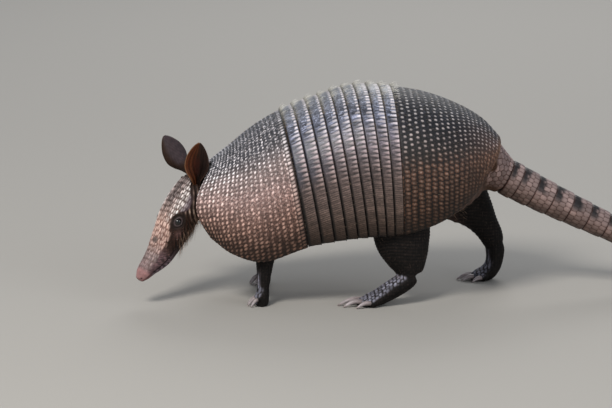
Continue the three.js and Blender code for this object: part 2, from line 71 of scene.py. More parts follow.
# distance towards the nose, top, bottom, half width
HEAD = [
    (-12, 14, -9, 12), (-8, 17.5, -13, 16), (0, 19.6, -16, 19.5), (14, 20.2, -17, 21.2),
    (34, 19, -17, 20.8), (42, 17.6, -17.8, 18.8), (50, 15.6, -18.6, 16.5), (66, 11.6, -19.2, 13),
    (75, 9.6, -18, 11.8), (84, 8.2, -14.4, 10.4), (92, 7.6, -10.2, 9.2), (99, 6.6, -7.6, 7.6),
    (103.5, 4.6, -5, 5),
]
NOSE_TIP = (105.4, -0.4)
# distance towards the nose, half angle of the crown plate in degrees
CROWN = [(-7, 24), (2, 34), (14, 56), (25, 58), (35, 37), (46, 33), (60, 36), (70, 28)]
EYE_ALONG, EYE_HEIGHT, EYE_SIDE, EYE_RADIUS = 38.4, 7.8, 13.3, 5
EAR_LENGTH, EAR_HALF_WIDTH = 43, 12.2
# root, the way it points and the way it faces
EAR_POSES = {
    "left": ((5.7, -10.2, 9.9), (0.04, -0.14, 1), (-0.36, -0.93, 0)),
    "right": ((17.2, 12, 11), (-0.59, 0.22, 0.78), (-0.5, 0.86, 0)),
}
# part of the ear's length, part of its half width, depth of its cup
EAR_OUTLINE = [
    (0, 0.3, 4.5), (0.14, 0.44, 7.5), (0.27, 0.74, 8.5), (0.44, 1, 7.5), (0.66, 0.94, 5),
    (0.83, 0.66, 3), (0.94, 0.36, 1.6), (1, 0.1, 0.6),
]
# x, z, radius
TAIL = [
    (500, 120.4, 18.8), (528, 105.2, 17.6), (556, 90.6, 16.2), (612, 63, 13.3), (664, 38, 10.7),
    (708, 18.8, 8.3), (742, 8.6, 6.3), (770, 4.9, 4.9), (794, 3.4, 3.5), (814, 2, 1.9),
]
TAIL_ROOT = 8
TAIL_RINGS = (12.4, 18.2, 20.4, 20.5, 21, 21, 20, 19, 18, 17, 15.5, 14.5)
# x, y, z, half width across the body, half depth
FORE_LEG = [
    (268, -38, 80, 15, 18), (264, -41, 62, 12.5, 14), (261.5, -44, 46, 9.5, 9.8),
    (260.5, -45, 32, 7.6, 7.6), (259.8, -45.5, 20, 6.6, 6.2),
]
FORE_FOOT = [
    (259.8, -45.5, 23, 4.8, 4.4), (259.4, -45.5, 17, 7.4, 6.2), (258.8, -46, 10.5, 8.8, 6.6),
    (258.2, -46, 4.5, 9, 6.8), (258.2, -46, 0, 8.4, 6.2),
]
NEAR_HIND_LEG = [
    (392, -38, 104, 26, 30), (395.5, -44, 84, 22, 29), (398, -47, 64, 18, 28),
    (402, -49, 48, 14.5, 22.5), (405, -50, 37, 12, 16.5), (407, -50.5, 29.5, 10.5, 11.5),
]
NEAR_HIND_FOOT = [
    (409.5, -51, 28, 8, 6.5), (403, -51.5, 24.5, 10.5, 9.2), (393, -52.5, 18.8, 11.5, 9.8),
    (382, -53.5, 12.5, 12.8, 9), (372, -54.5, 7.4, 13.8, 7.8), (361, -55, 4.4, 13, 5.8),
]
FAR_HIND_LEG = [
    (452, 36, 108, 24, 34), (468, 40, 88, 20, 29), (482.5, 43, 72, 16, 20),
    (492.5, 44.5, 58, 12.6, 14.5), (499, 45, 47, 11, 12.5), (502, 45, 38.5, 9.8, 11),
]
FAR_HIND_FOOT = [
    (502.6, 45, 42, 7, 7.5), (503.4, 45, 33, 9, 10), (503.4, 45, 24, 9, 9.2),
    (501, 45, 14.5, 10, 8.6), (495, 45.5, 7.4, 11.6, 8.4), (485, 46, 4.4, 12, 5.8),
]
FAR_FORE_SHIFT = 9
FORE_TOE_RADIUS, HIND_TOE_RADIUS = 3.3, 4.2
HIND_TOE_LENGTHS = (0.45, 0.85, 1, 0.85, 0.4)
# root and tip of the middle toe, tip of its claw, spread at each of these, reach, length of each toe
TOES = {
    "fore_left": (
        (256.6, -46, 12), (251, -46.5, 6.6), (243.5, -47, 0.4), (5.4, 7.8, 8.8), 7, (0.7, 1, 0.95, 0.6)
    ),
    "hind_left": (
        (368, -54.7, 7), (350, -55.5, 3.2), (332, -56.5, 0.6), (8.6, 12.4, 14), 24, HIND_TOE_LENGTHS
    ),
    "hind_right": (
        (489, 45.5, 6.5), (477, 46, 3.2), (464, 46, 0.6), (8.2, 12, 13.6), 20, HIND_TOE_LENGTHS
    ),
}

MM = 0.001
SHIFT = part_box("pelvic_shield")[1].x / MM - SHELL[-1][1]  # from the layout's x to the frame's

# ---- arithmetic

TURN = 2 * np.pi
SCATTER_WEIGHTS, SCATTER_START, SCATTER_SCALE = (127.1, 311.7, 74.7), 1.3, 43758.5453


def lerp(a, b, t):
    return a + (b - a) * t


def blend(a, b, t):
    """Two colours mixed at each point by t."""
    return lerp(np.asarray(a, float), b, t[..., None])


def painted(tint, *coats):
    """A colour under others, each a colour and how much of it shows at each point."""
    for colour, share in coats:
        tint = blend(tint, colour, share)
    return tint


def lit(colour, factor):
    """A colour or vector multiplied at each point by the point's own factor."""
    return np.multiply(colour, factor[..., None])


def ramp(low, high, x):
    """0 at low and 1 at high, with soft ends; it falls where high is the smaller one."""
    t = np.clip((x - low) / (high - low), 0, 1)
    return t * t * (3 - 2 * t)


def between(start, full, late, end, x):
    """1 from full to late, with a soft fall to 0 at start and at end."""
    return ramp(start, full, x) * ramp(end, late, x)


def vector(*parts):
    """A place, a direction or a colour to reckon with."""
    return np.array(parts, float)


def grid_of(rows, columns):
    return np.meshgrid(rows, columns, indexing="ij")


def grounded(points, low=0.0):
    """The points, none of them below a height over the floor."""
    points[..., 2] = np.maximum(points[..., 2], low)
    return points


def bump(x, middle, width):
    """1 at the middle, falling off to both sides."""
    return np.exp(-(((x - middle) / width) ** 2))


def wave(phase, period):
    return np.sin(TURN * phase / period)


def unit(v):
    return v / np.maximum(np.linalg.norm(v, axis=-1, keepdims=True), 1e-12)


def scatter(*keys):
    """A number between 0 and 1 that depends on the keys alone."""
    total = sum(key * weight for key, weight in zip(keys, SCATTER_WEIGHTS))
    return np.modf(np.abs(np.sin(total + SCATTER_START) * SCATTER_SCALE))[0]


def curve_through(table, column):
    """A smooth function through one column of a table whose first column is the variable."""
    table = np.array(table, float)
    xs, ys = table[:, 0], table[:, column]
    k = np.arange(len(xs))
    before, after = np.maximum(k - 1, 0), np.minimum(k + 1, len(xs) - 1)
    slopes = (ys[after] - ys[before]) / (xs[after] - xs[before])

    def curve(x):
        x = np.asarray(x, float)
        i = np.clip(np.searchsorted(xs, x, side="right") - 1, 0, len(xs) - 2)
        h = xs[i + 1] - xs[i]
        t = np.clip((x - xs[i]) / h, 0, 1)
        bend = h * (slopes[i] * t * (1 - t) ** 2 + slopes[i + 1] * t * t * (t - 1))
        return lerp(ys[i], ys[i + 1], (3 - 2 * t) * t * t) + bend

    return curve


def table_at(x, table):
    """The second column of a table at x of its first, along straight lines."""
    return np.interp(x, *zip(*table))


def shades(stops, x):
    """Colour along x: stops are (position, red, green, blue), 0 to 255 as seen on a screen."""
    stops = np.array(stops, float)
    return np.stack([np.interp(x, stops[:, 0], stops[:, c]) for c in (1, 2, 3)], -1)


def quincunx(row, count, gap, pitch, seed, jitter):
    """The nearest scute of alternating rows, with places counted in rows and in scutes of a row.

    Returns the place from its middle in mm, how much nearer it is than the next one, and its own number."""
    near = np.full(np.shape(row), 1e9)
    second, x_near, y_near, own = near.copy(), near.copy(), near.copy(), near.copy()
    for step in (-1, 0, 1):
        k = np.round(row) + step
        shift = 0.5 * np.mod(k, 2)
        middle = np.round(count - shift)
        for c in (middle - 1, middle, middle + 1):
            x = (row - k - jitter * (scatter(k, c, seed) - 0.5)) * gap
            y = (count - c - shift - jitter * (scatter(c, k, seed + 1) - 0.5)) * pitch
            d = np.hypot(x, y)
            closer = d < near
            second = np.where(closer, near, np.minimum(second, d))
            x_near, y_near = np.where(closer, x, x_near), np.where(closer, y, y_near)
            own = np.where(closer, scatter(k, c, seed + 2), own)
            near = np.minimum(near, d)
    return x_near, y_near, second - near, own


FARTHEST = 240  # mm from the middle of the back to beyond the shell's edge


def counted(distance, table):
    """How many scutes lie between 0 and a distance, and their pitch there; the table is distance, pitch."""
    fine = np.linspace(0, FARTHEST, 961)
    pitch = table_at(fine, table)
    count = np.concatenate([[0], np.cumsum((fine[1] - fine[0]) / pitch[1:])])
    away = np.abs(distance)
    return np.sign(distance) * np.interp(away, fine, count), np.interp(away, fine, pitch)


def rounded(x, y, half_length, half_width, power):
    """Distance from the middle of a rounded plate: 1 at its rim."""
    return (np.abs(x / half_length) ** power + np.abs(y / half_width) ** power) ** (1 / power)


def nearest(places):
    """A search tree over the places."""
    tree = KDTree(len(places))
    for k, place in enumerate(places):
        tree.insert(place, k)
    tree.balance()
    return tree


# ---- meshes


def place_points(mesh, points):
    """Points of the layout, in millimetres, become the mesh's own."""
    mesh.vertices.foreach_set("co", ((points + (SHIFT, 0, 0)) * MM).ravel())


def positions(mesh):
    flat = np.empty(len(mesh.vertices) * 3)
    mesh.vertices.foreach_get("co", flat)
    return flat.reshape(-1, 3) / MM - (SHIFT, 0, 0)


def normals(mesh):
    flat = np.empty(len(mesh.vertices) * 3)
    mesh.vertex_normals.foreach_get("vector", flat)
    return flat.reshape(-1, 3)


def new_mesh(name, points, faces, uvs=None):
    """A mesh from points in millimetres and blocks of faces, each block an array of equal faces."""
    mesh = bpy.data.meshes.new(name)
    mesh.vertices.add(len(points))
    place_points(mesh, points)
    sizes = np.concatenate([np.full(len(block), block.shape[1]) for block in faces])
    loops = np.concatenate([block.ravel() for block in faces])
    mesh.loops.add(len(loops))
    mesh.loops.foreach_set("vertex_index", loops)
    mesh.polygons.add(len(sizes))
    mesh.polygons.foreach_set("loop_start", np.cumsum(sizes) - sizes)
    mesh.update(calc_edges=True)
    mesh.shade_smooth()
    if uvs is not None:
        layer = mesh.uv_layers.new(name="OFBake")
        layer.uv.foreach_set("vector", np.concatenate([block.reshape(-1, 2) for block in uvs]).ravel())
    return mesh


def colour_points(mesh, tint, gloss):
    """Each point's colour (0 to 255 as seen) and how glossy it is (0 to 1), for the materials to read.

    Colours as seen go to amounts of light by the screens' usual curve."""
    seen = np.clip(tint.reshape(-1, 3) / 255, 0, 1)
    rgba = np.ones((len(mesh.vertices), 4))
    rgba[: len(seen), :3] = np.where(seen <= 0.04045, seen / 12.92, ((seen + 0.055) / 1.055) ** 2.4)
    mesh.attributes.new("tint", "FLOAT_COLOR", "POINT").data.foreach_set("color", rgba.ravel())
    gloss = np.ravel(np.zeros(len(rgba)) + gloss)
    mesh.attributes.new("gloss", "FLOAT", "POINT").data.foreach_set("value", gloss)


def add_object(name, data):
    made = bpy.data.objects.new(name, data)
    bpy.context.scene.collection.objects.link(made)
    return made


def add_piece(name, mesh, material, nodes=()):
    piece = add_object(name, mesh)
    mesh.materials.append(material)
    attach(piece, "root")
    if nodes:
        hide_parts(*nodes)
    return piece


def numbered(rows, columns, first=0):
    """A grid of the numbers of its points."""
    return np.arange(rows * columns).reshape(rows, columns) + first


def quads(grid, turned=False):
    """The four corners of each cell of a grid of numbers or places, in order round it."""
    ring = [grid[:-1, :-1], grid[1:, :-1], grid[1:, 1:], grid[:-1, 1:]]
    return np.stack(ring[::-1] if turned else ring, 2).reshape(-1, 4, *grid.shape[2:])


def ring_quads(over):
    """Quads between rings of equal count."""
    after = np.roll(over, -1, axis=1)
    return np.stack([over[:-1], after[:-1], after[1:], over[1:]], -1).reshape(-1, 4)


def rim_quads(over, under):
    """Quads all round two grids of numbers, one under the other."""
    a, b = (np.concatenate([g[:, 0], g[-1, 1:], g[-2::-1, -1], g[0, -2:0:-1]]) for g in (over, under))
    return np.stack([np.roll(a, -1), a, b, np.roll(b, -1)], -1)


# a plate's UV map: margin and width, start and height for each side, lower and upper edge of the rim
UV_START, UV_SPAN = 0.01, 0.98
UV_TOP, UV_LOW, UV_RIM = (0.14, 0.85), (0.01, 0.08), (0.105, 0.125)


def slab(outer, inner, stride):
    """A closed plate: a fine outer grid, a coarse inner one with a face for every stride, and a rim.

    Returns the points, the number in the outer grid of each, the faces and their places in the UV map."""
    rows, columns = outer.shape[:2]
    i, j = np.indices((rows, columns))
    border = (i == 0) | (i == rows - 1) | (j == 0) | (j == columns - 1)
    keep = border | ((i % stride == 0) & (j % stride == 0))
    over = numbered(rows, columns)
    under = np.full((rows, columns), -1)
    under[keep] = rows * columns + np.arange(keep.sum())
    place = np.stack([j / (columns - 1), i / (rows - 1)], -1)
    top_uv, low_uv = (place * (UV_SPAN, height) + (UV_START, low) for low, height in (UV_TOP, UV_LOW))

    rim = rim_quads(over, under)
    faces = [quads(over), rim]
    left = UV_START + UV_SPAN * np.arange(len(rim)) / len(rim)
    right = left + UV_SPAN / len(rim)
    low, high = (np.full(len(rim), height) for height in UV_RIM)
    rim_uv = [(right, high), (left, high), (left, low), (right, low)]
    uvs = [quads(top_uv), np.stack([np.stack(corner, -1) for corner in rim_uv], 1)]

    for x in range(0, rows - 1, stride):
        for y in range(0, columns - 1, stride):
            x2, y2 = min(x + stride, rows - 1), min(y + stride, columns - 1)
            path = [(x, k) for k in range(y, y2)] + [(k, y2) for k in range(x, x2)]
            path += [(x2, k) for k in range(y2, y, -1)] + [(k, y) for k in range(x2, x, -1)]
            path = [p for p in path if keep[p]]
            faces.append(np.array([[under[p] for p in path]]))
            uvs.append(np.array([[low_uv[p] for p in path]]))
    points = np.concatenate([outer.reshape(-1, 3), inner[keep]])
    source = np.concatenate([over.ravel(), over[keep]])
    return points, source, faces, uvs


# painted shade: a plate's inner side and its rim are darkened as if in shade
INNER_PAINTED_SHADE = 0.55  # how bright a plate's inner side is, next to its outer side


def plate_piece(name, outer, inner, tint, gloss, material, node, stride):
    points, source, faces, uvs = slab(outer, inner, stride)
    mesh = new_mesh(name, points, faces, uvs)
    mesh.set_sharp_from_angle(angle=math.radians(55))
    tint = tint.reshape(-1, 3)[source]
    tint[gloss.size:] *= INNER_PAINTED_SHADE
    colour_points(mesh, tint, gloss.ravel()[source])
    return add_piece(name, mesh, material, [node])


# ---- materials

MOTTLE = 0.22  # how much blotches and grain change the colour


def feed(node, **settings):
    """Sets a node's own settings and its inputs, each by a value or by the socket it is linked to."""
    for key, value in settings.items():
        entry = node.inputs.get(key.replace("_", " "))
        if entry is None:
            setattr(node, key, value)
        elif isinstance(value, bpy.types.NodeSocket):
            node.id_data.links.new(value, entry)
        else:
            entry.default_value = value
    return node


def new_material(name, **settings):
    """A material, its shader with the settings, and the function that adds a node to it."""
    material = bpy.data.materials.new(name)
    material.use_nodes = True
    tree = material.node_tree

    def node(kind, **settings):
        return feed(tree.nodes.new("ShaderNode" + kind), **settings)

    return material, feed(tree.nodes["Principled BSDF"], **settings), node


def hide_material(name, rough, glossy, fine, relief, speck=0.0, subsurface=0.0, shine=0.34):
    """Skin or horn that takes its colour from the points, with fine cells and grain of its own.

    rough and glossy are the roughness where gloss is 0 and 1; fine is the cells' number in a metre;
    speck is how much the matte ground varies from cell to cell; shine is how much the surface mirrors."""
    material, shader, node = new_material(name, Specular_IOR_Level=shine)
    if subsurface:
        reach = (0.004, 0.0016, 0.001)
        feed(shader, Subsurface_Weight=subsurface, Subsurface_Radius=reach, Subsurface_Scale=0.6)
    place = node("TexCoord").outputs["Object"]
    tint = node("Attribute", attribute_name="tint").outputs["Color"]
    gloss = node("Attribute", attribute_name="gloss").outputs["Fac"]
    blotch = node("TexNoise", Scale=55.0, Detail=5.0, Roughness=0.65, Vector=place).outputs["Fac"]
    grain = node("TexNoise", Scale=900.0, Detail=3.0, Roughness=0.6, Vector=place).outputs["Fac"]
    cell = node("TexVoronoi", Scale=fine, feature="SMOOTH_F1", Smoothness=0.35, Vector=place)
    patch = node("TexVoronoi", Scale=fine, feature="F1", Vector=place).outputs

    def remap(source, low, high, start=0.25, stop=0.75):
        made = node("MapRange", From_Min=start, From_Max=stop, To_Min=low, To_Max=high, Value=source)
        return made.outputs["Result"]

    def multiplied(a, b, factor=1.0):
        made = node("Mix", data_type="RGBA", blend_type="MULTIPLY", Factor=factor, A=a, B=b)
        return made.outputs["Result"]

    shade = multiplied(tint, remap(blotch, 1 - MOTTLE, 1 + MOTTLE))
    shade = multiplied(shade, remap(grain, 1 - MOTTLE * 0.7, 1 + MOTTLE * 0.7))
    if speck:
        matte = remap(gloss, 1.0, 0.0, 0.3, 0.7)
        shade = multiplied(shade, remap(patch["Color"], 1 - speck, 1 + speck), matte)
        shade = multiplied(shade, remap(patch["Distance"], 1.1, 1 - speck, 0.2, 0.7), matte)
    worn = node("Math", operation="MULTIPLY")
    for entry, source in zip(worn.inputs, (remap(gloss, rough, glossy, 0.0, 1.0), remap(grain, 0.85, 1.15))):
        worn.id_data.links.new(source, entry)
    bumps = node("Bump", Strength=relief, Distance=0.0005, invert=True, Height=cell.outputs["Distance"])
    bumps = node("Bump", Strength=0.35, Distance=0.0002, Height=grain, Normal=bumps.outputs["Normal"])
    feed(shader, Base_Color=shade, Roughness=worn.outputs["Value"], Normal=bumps.outputs["Normal"])
    return material


SHIELD = hide_material("shield_horn", 0.64, 0.38, 620, 0.4, speck=0.3)
BAND = hide_material("band_horn", 0.6, 0.32, 620, 0.25, speck=0.16)
CROWN_HORN = hide_material("crown_horn", 0.64, 0.42, 620, 0.3, speck=0.2)
SKIN = hide_material("bare_skin", 0.8, 0.42, 460, 0.5, speck=0.16, subsurface=0.05, shine=0.2)
EAR_SKIN = hide_material("ear_skin", 0.7, 0.42, 700, 0.3, subsurface=0.08, shine=0.15)
TAIL_HORN = hide_material("tail_horn", 0.64, 0.4, 480, 0.35, speck=0.12)
CLAW_HORN = hide_material("claw_horn", 0.5, 0.28, 300, 0.15)
HAIR = hide_material("hair", 0.6, 0.4, 300, 0.0, shine=0.25)
EYE, eye_shader, eye_node = new_material(
    "eye", Roughness=0.08, Specular_IOR_Level=0.25, Coat_Weight=0.9, Coat_Roughness=0.03
)
feed(eye_shader, Base_Color=eye_node("Attribute", attribute_name="tint").outputs["Color"])

# ---- shell

top_x, top_z, low_x, low_z, half_width = (curve_through(SHELL, k) for k in range(1, 6))
belly_drop = curve_through(BELLY_DROP, 1)


def shell_point(u, side):
    """The shell's surface: side is -1 at the left lower edge, 0 at the back and 1 at the right edge."""
    angle = side * SHELL_SWEEP
    down = (1 - np.cos(angle)) / (1 - math.cos(SHELL_SWEEP))
    bow = FRONT_BOW * np.maximum(1 - u, 0) ** 2 * np.sin(np.pi * down)
    x = lerp(top_x(u), low_x(u), down) - bow
    return np.stack([x, half_width(u) * np.sin(angle), lerp(top_z(u), low_z(u), down)], -1)


def shell_grid(us, columns):
    """Points and normals of the shell, u, arc from the back, how far down, mm for 1 of u, mm to the edge."""
    u, side = grid_of(us, np.linspace(-1, 1, columns))
    points = shell_point(u, side)
    along = np.gradient(points, us, axis=0)
    normal = unit(np.cross(along, np.gradient(points, axis=1)))
    reach = np.linalg.norm(np.diff(points, axis=1), axis=-1)
    arc = np.concatenate([np.zeros((len(us), 1)), np.cumsum(reach, axis=1)], axis=1)
    arc -= arc[:, columns // 2, None]
    away, half = np.abs(arc), arc[:, -1:]
    return (points, normal), (u, arc, away / half, np.linalg.norm(along, axis=-1), half - away)


def plate_grid(start, stop, size):
    """The shell's grid between two places along it, with a number of rows and of columns."""
    return shell_grid(np.linspace(start, stop, size[0]), size[1])


def raised(surface, height):
    points, normal = surface
    return points + lit(normal, np.asarray(height))


# tables of colours; first how far down the shell: 0 at the middle of the back, 1 at the lower edge. Their
# last stops darken steeply to the lower edge: the shell's own browner tone there, deepened by painted shade
SHOULDER_GROUND = [
    (0, 74, 77, 84), (0.28, 78, 77, 83), (0.42, 132, 115, 113), (0.58, 166, 135, 129),
    (0.76, 120, 90, 80), (0.9, 68, 47, 38), (1, 44, 30, 23),
]
SHOULDER_SCUTE = [
    (0, 176, 173, 178), (0.35, 226, 217, 219), (0.55, 226, 199, 194), (0.75, 190, 154, 141),
    (0.9, 132, 101, 87), (1, 96, 70, 57),
]
HIP_GROUND = [
    (0, 46, 47, 52), (0.35, 33, 34, 41), (0.52, 38, 33, 33), (0.66, 44, 29, 22), (0.85, 38, 25, 18),
    (1, 28, 18, 12),
]
HIP_BLOCK = [(0.5, 62, 46, 41), (0.66, 98, 68, 53), (0.85, 86, 58, 43), (1, 50, 33, 23)]
HIP_SCUTE = [
    (0, 128, 124, 123), (0.25, 172, 165, 165), (0.48, 158, 144, 141), (0.62, 134, 112, 101),
    (0.85, 114, 92, 80), (1, 68, 48, 36),
]
# the bands are palest and bluest from 0.16 to 0.32 down: their own pale grey, with painted highlight
BAND_GROUND = [
    (0, 104, 106, 112), (0.16, 111, 114, 125), (0.32, 96, 99, 115), (0.46, 88, 81, 89),
    (0.62, 81, 69, 67), (0.82, 86, 70, 63), (1, 42, 29, 21),
]
BAND_SCUTE = [
    (0, 204, 195, 195), (0.3, 240, 230, 234), (0.5, 208, 185, 187), (0.66, 150, 127, 120),
    (0.84, 128, 107, 97), (1, 62, 46, 36),
]
# how many points a plate has from front to rear, and from the left edge to the right one
SHOULDER_GRID, HIP_GRID, BAND_GRID = (168, 545), (184, 511), (27, 601)
# arc from the middle of the back, pitch of the scutes there
SHOULDER_PITCH = [(0, 3.6), (45, 3.9), (75, 4.6), (150, 4.3)]
HIP_PITCH = [(0, 4.9), (40, 5.2), (70, 5.6), (95, 5.1), (120, 4.3), (160, 4.1)]
BAND_PITCH = [(0, 4.5), (40, 4.4), (80, 4.8), (110, 4.4), (150, 4.2)]
SHOULDER_ROWS = 20  # rows of scutes along the shoulder shield
# part of the hip shield's length, rows of scutes so far
HIP_ROWS = [(0, 0), (0.2, 3), (0.4, 6), (0.55, 8.7), (0.67, 11), (0.82, 15), (1, 20)]
RIM_ROW, RIM_PITCH = 5.4, 3.9  # depth and pitch of the long plates at the shoulder shield's rear rim
PEBBLE = 1.6  # pitch of the small scutes between the large ones
OVERHANG = 0.006  # how far a band reaches over the next one, in u


def pebbles(row, arc, gap, parts, seed):
    """Small scutes that fill the ground, several rows of them to each row of large ones."""
    gap = gap / parts
    x, y, _, own = quincunx(row * parts, arc / PEBBLE, gap, PEBBLE, seed, jitter=0.35)
    return ramp(1.05, 0.5, np.hypot(x / gap, y / PEBBLE) * 2), own


def rim_fall(distance, width, drop):
    return -drop * np.clip(1 - distance / width, 0, 1) ** 2


def shoulder_shield():
    """Round scutes among pebbles, longer ones low down, and a row of long plates at the rear rim."""
    surface, (u, arc, low, length, edge) = plate_grid(0, 1 - GAP_U, SHOULDER_GRID)
    front, bottom, upper = ramp(0.55, 0.05, u), ramp(0.7, 0.9, low), ramp(0.42, 0.28, low)
    row = SHOULDER_ROWS * (1.2 * u - 0.2 * u * u)
    gap = length / (SHOULDER_ROWS * (1.2 - 0.4 * u))
    count, pitch = counted(arc, SHOULDER_PITCH)
    x, y, _, own = quincunx(row, count, gap, pitch, seed=1, jitter=0.2)
    size = (0.85 + 0.3 * own) * (1 - 0.2 * upper)
    long = lerp(lerp(1.15, 1.7, bottom), 1.0, front)
    wide = lerp(lerp(1.15, 1.45, bottom), 1.5, front)
    scute = ramp(1.35, 0.5, rounded(x, y, long * size, wide * size, 2.2))
    pebble, tone = pebbles(row, arc, gap, parts=3, seed=5)

    to_rear = (1 - GAP_U - u) * length
    number = np.round(arc / RIM_PITCH)
    long_own = scatter(number, 3)
    across = arc - (number + 0.2 * (long_own - 0.5)) * RIM_PITCH
    taper = lerp(1.2, 1.6, ramp(0.5, RIM_ROW, to_rear)) * (0.85 + 0.3 * long_own)
    plate = ramp(1.3, 0.55, rounded(to_rear - 2.9, across, 2.2, taper, 2.3))
    rim = ramp(RIM_ROW + 0.5, RIM_ROW - 0.3, to_rear)
    scute, own, pebble = lerp(scute, plate, rim), lerp(own, long_own, rim), pebble * (1 - rim)

    ground = shades(SHOULDER_GROUND, low)
    ground = blend(ground, ground * 0.62, np.maximum(front * 0.24, rim * 0.75))
    ground = lit(ground, 0.8 + 0.5 * tone * pebble)
    salt = (0.8 * upper + 0.25) * pebble * ramp(0.62, 0.9, tone)
    bright = (0.84 + 0.34 * own) * (1 - 0.12 * rim) * (1 + 0.12 * front)
    pale = lit(shades(SHOULDER_SCUTE, low), bright)
    tint = blend(blend(ground, pale * 0.9, salt), pale, scute)
    height = 0.5 * scute + 0.2 * pebble * (1 - scute) - 0.15
    height += rim_fall(np.minimum(u * length, edge), 2.2, 1.0) + rim_fall(to_rear, 1.2, 0.7)
    return surface, height, tint, 0.25 + 0.5 * scute, -SHELL_THICKNESS


def hip_shield():
    """Pale scutes in rows on a dark ground, and low down square blocks with a small scute on each."""
    surface, (u, arc, low, length, edge) = plate_grid(2 + GAP_U, 3, HIP_GRID)
    part = u - 2
    row = curve_through(HIP_ROWS, 1)(part)
    gap = length / np.gradient(row[:, 0], u[:, 0])[:, None]
    closer = lerp(1.0, 0.8, ramp(0.4, 1, part))
    count, pitch = counted(arc / closer, HIP_PITCH)
    pitch = pitch * closer
    x, y, _, own = quincunx(row - 0.85, count, gap, pitch, seed=11, jitter=0.16)
    size = (0.92 + 0.18 * own) * lerp(1.0, 0.8, ramp(0.2, 1, part))
    first = ramp(1.5, 1.2, row)
    dot = ramp(1.35, 0.6, rounded(x, y, lerp(1.45, 1.6, first) * size, lerp(1.2, 1.3, first) * size, 2.4))
    dot = dot * ramp(2.0, 3.0, part * length)
    block = ramp(1.15, 0.75, rounded(x, y, gap * 0.42, pitch * 0.42, 3))
    small = ramp(1.35, 0.6, rounded(x, y, 1.15 * size, 0.8 * size, 2.4))
    lower = ramp(0.5, 0.64, low + 0.06 * (own - 0.5))
    scute = lerp(dot, small, lower)
    pebble, tone = pebbles(row, arc, gap, parts=4, seed=15)
    pebble = pebble * (1 - 0.6 * lower)

    tint = painted(
        lit(shades(HIP_GROUND, low), 0.66 + 0.8 * tone * pebble),
        ((112, 110, 116), 0.5 * pebble * ramp(0.6, 0.9, tone) * ramp(0.4, 0.15, low)),
        ((92, 68, 60), 0.6 * ramp(0.5, 0.95, part) * ramp(0.15, 0.4, low)),
        (lit(shades(HIP_BLOCK, low), 0.86 + 0.28 * own), block * lower),
        (lit(shades(HIP_SCUTE, low), 0.86 + 0.24 * own), scute),
    )
    tint = lit(tint, 1 + 0.3 * ramp(0.72, 1, part) * ramp(0.3, 0.5, low))
    to_rear = (3 - u) * length
    tint = blend(tint, lerp(tint, (122, 88, 66), 0.6), ramp(9, 2, to_rear) * 0.9)
    height = lerp(0.46, 0.2, lower) * scute + 0.14 * pebble * (1 - scute) + 0.2 * block * lower - 0.12
    height += rim_fall(np.minimum(to_rear, edge), 2.4, 1.2)
    height += rim_fall((u - 2 - GAP_U) * length, 2.6, 1.3)
    return surface, height, tint, 0.25 + 0.45 * scute * (1 - 0.4 * lower), -SHELL_THICKNESS


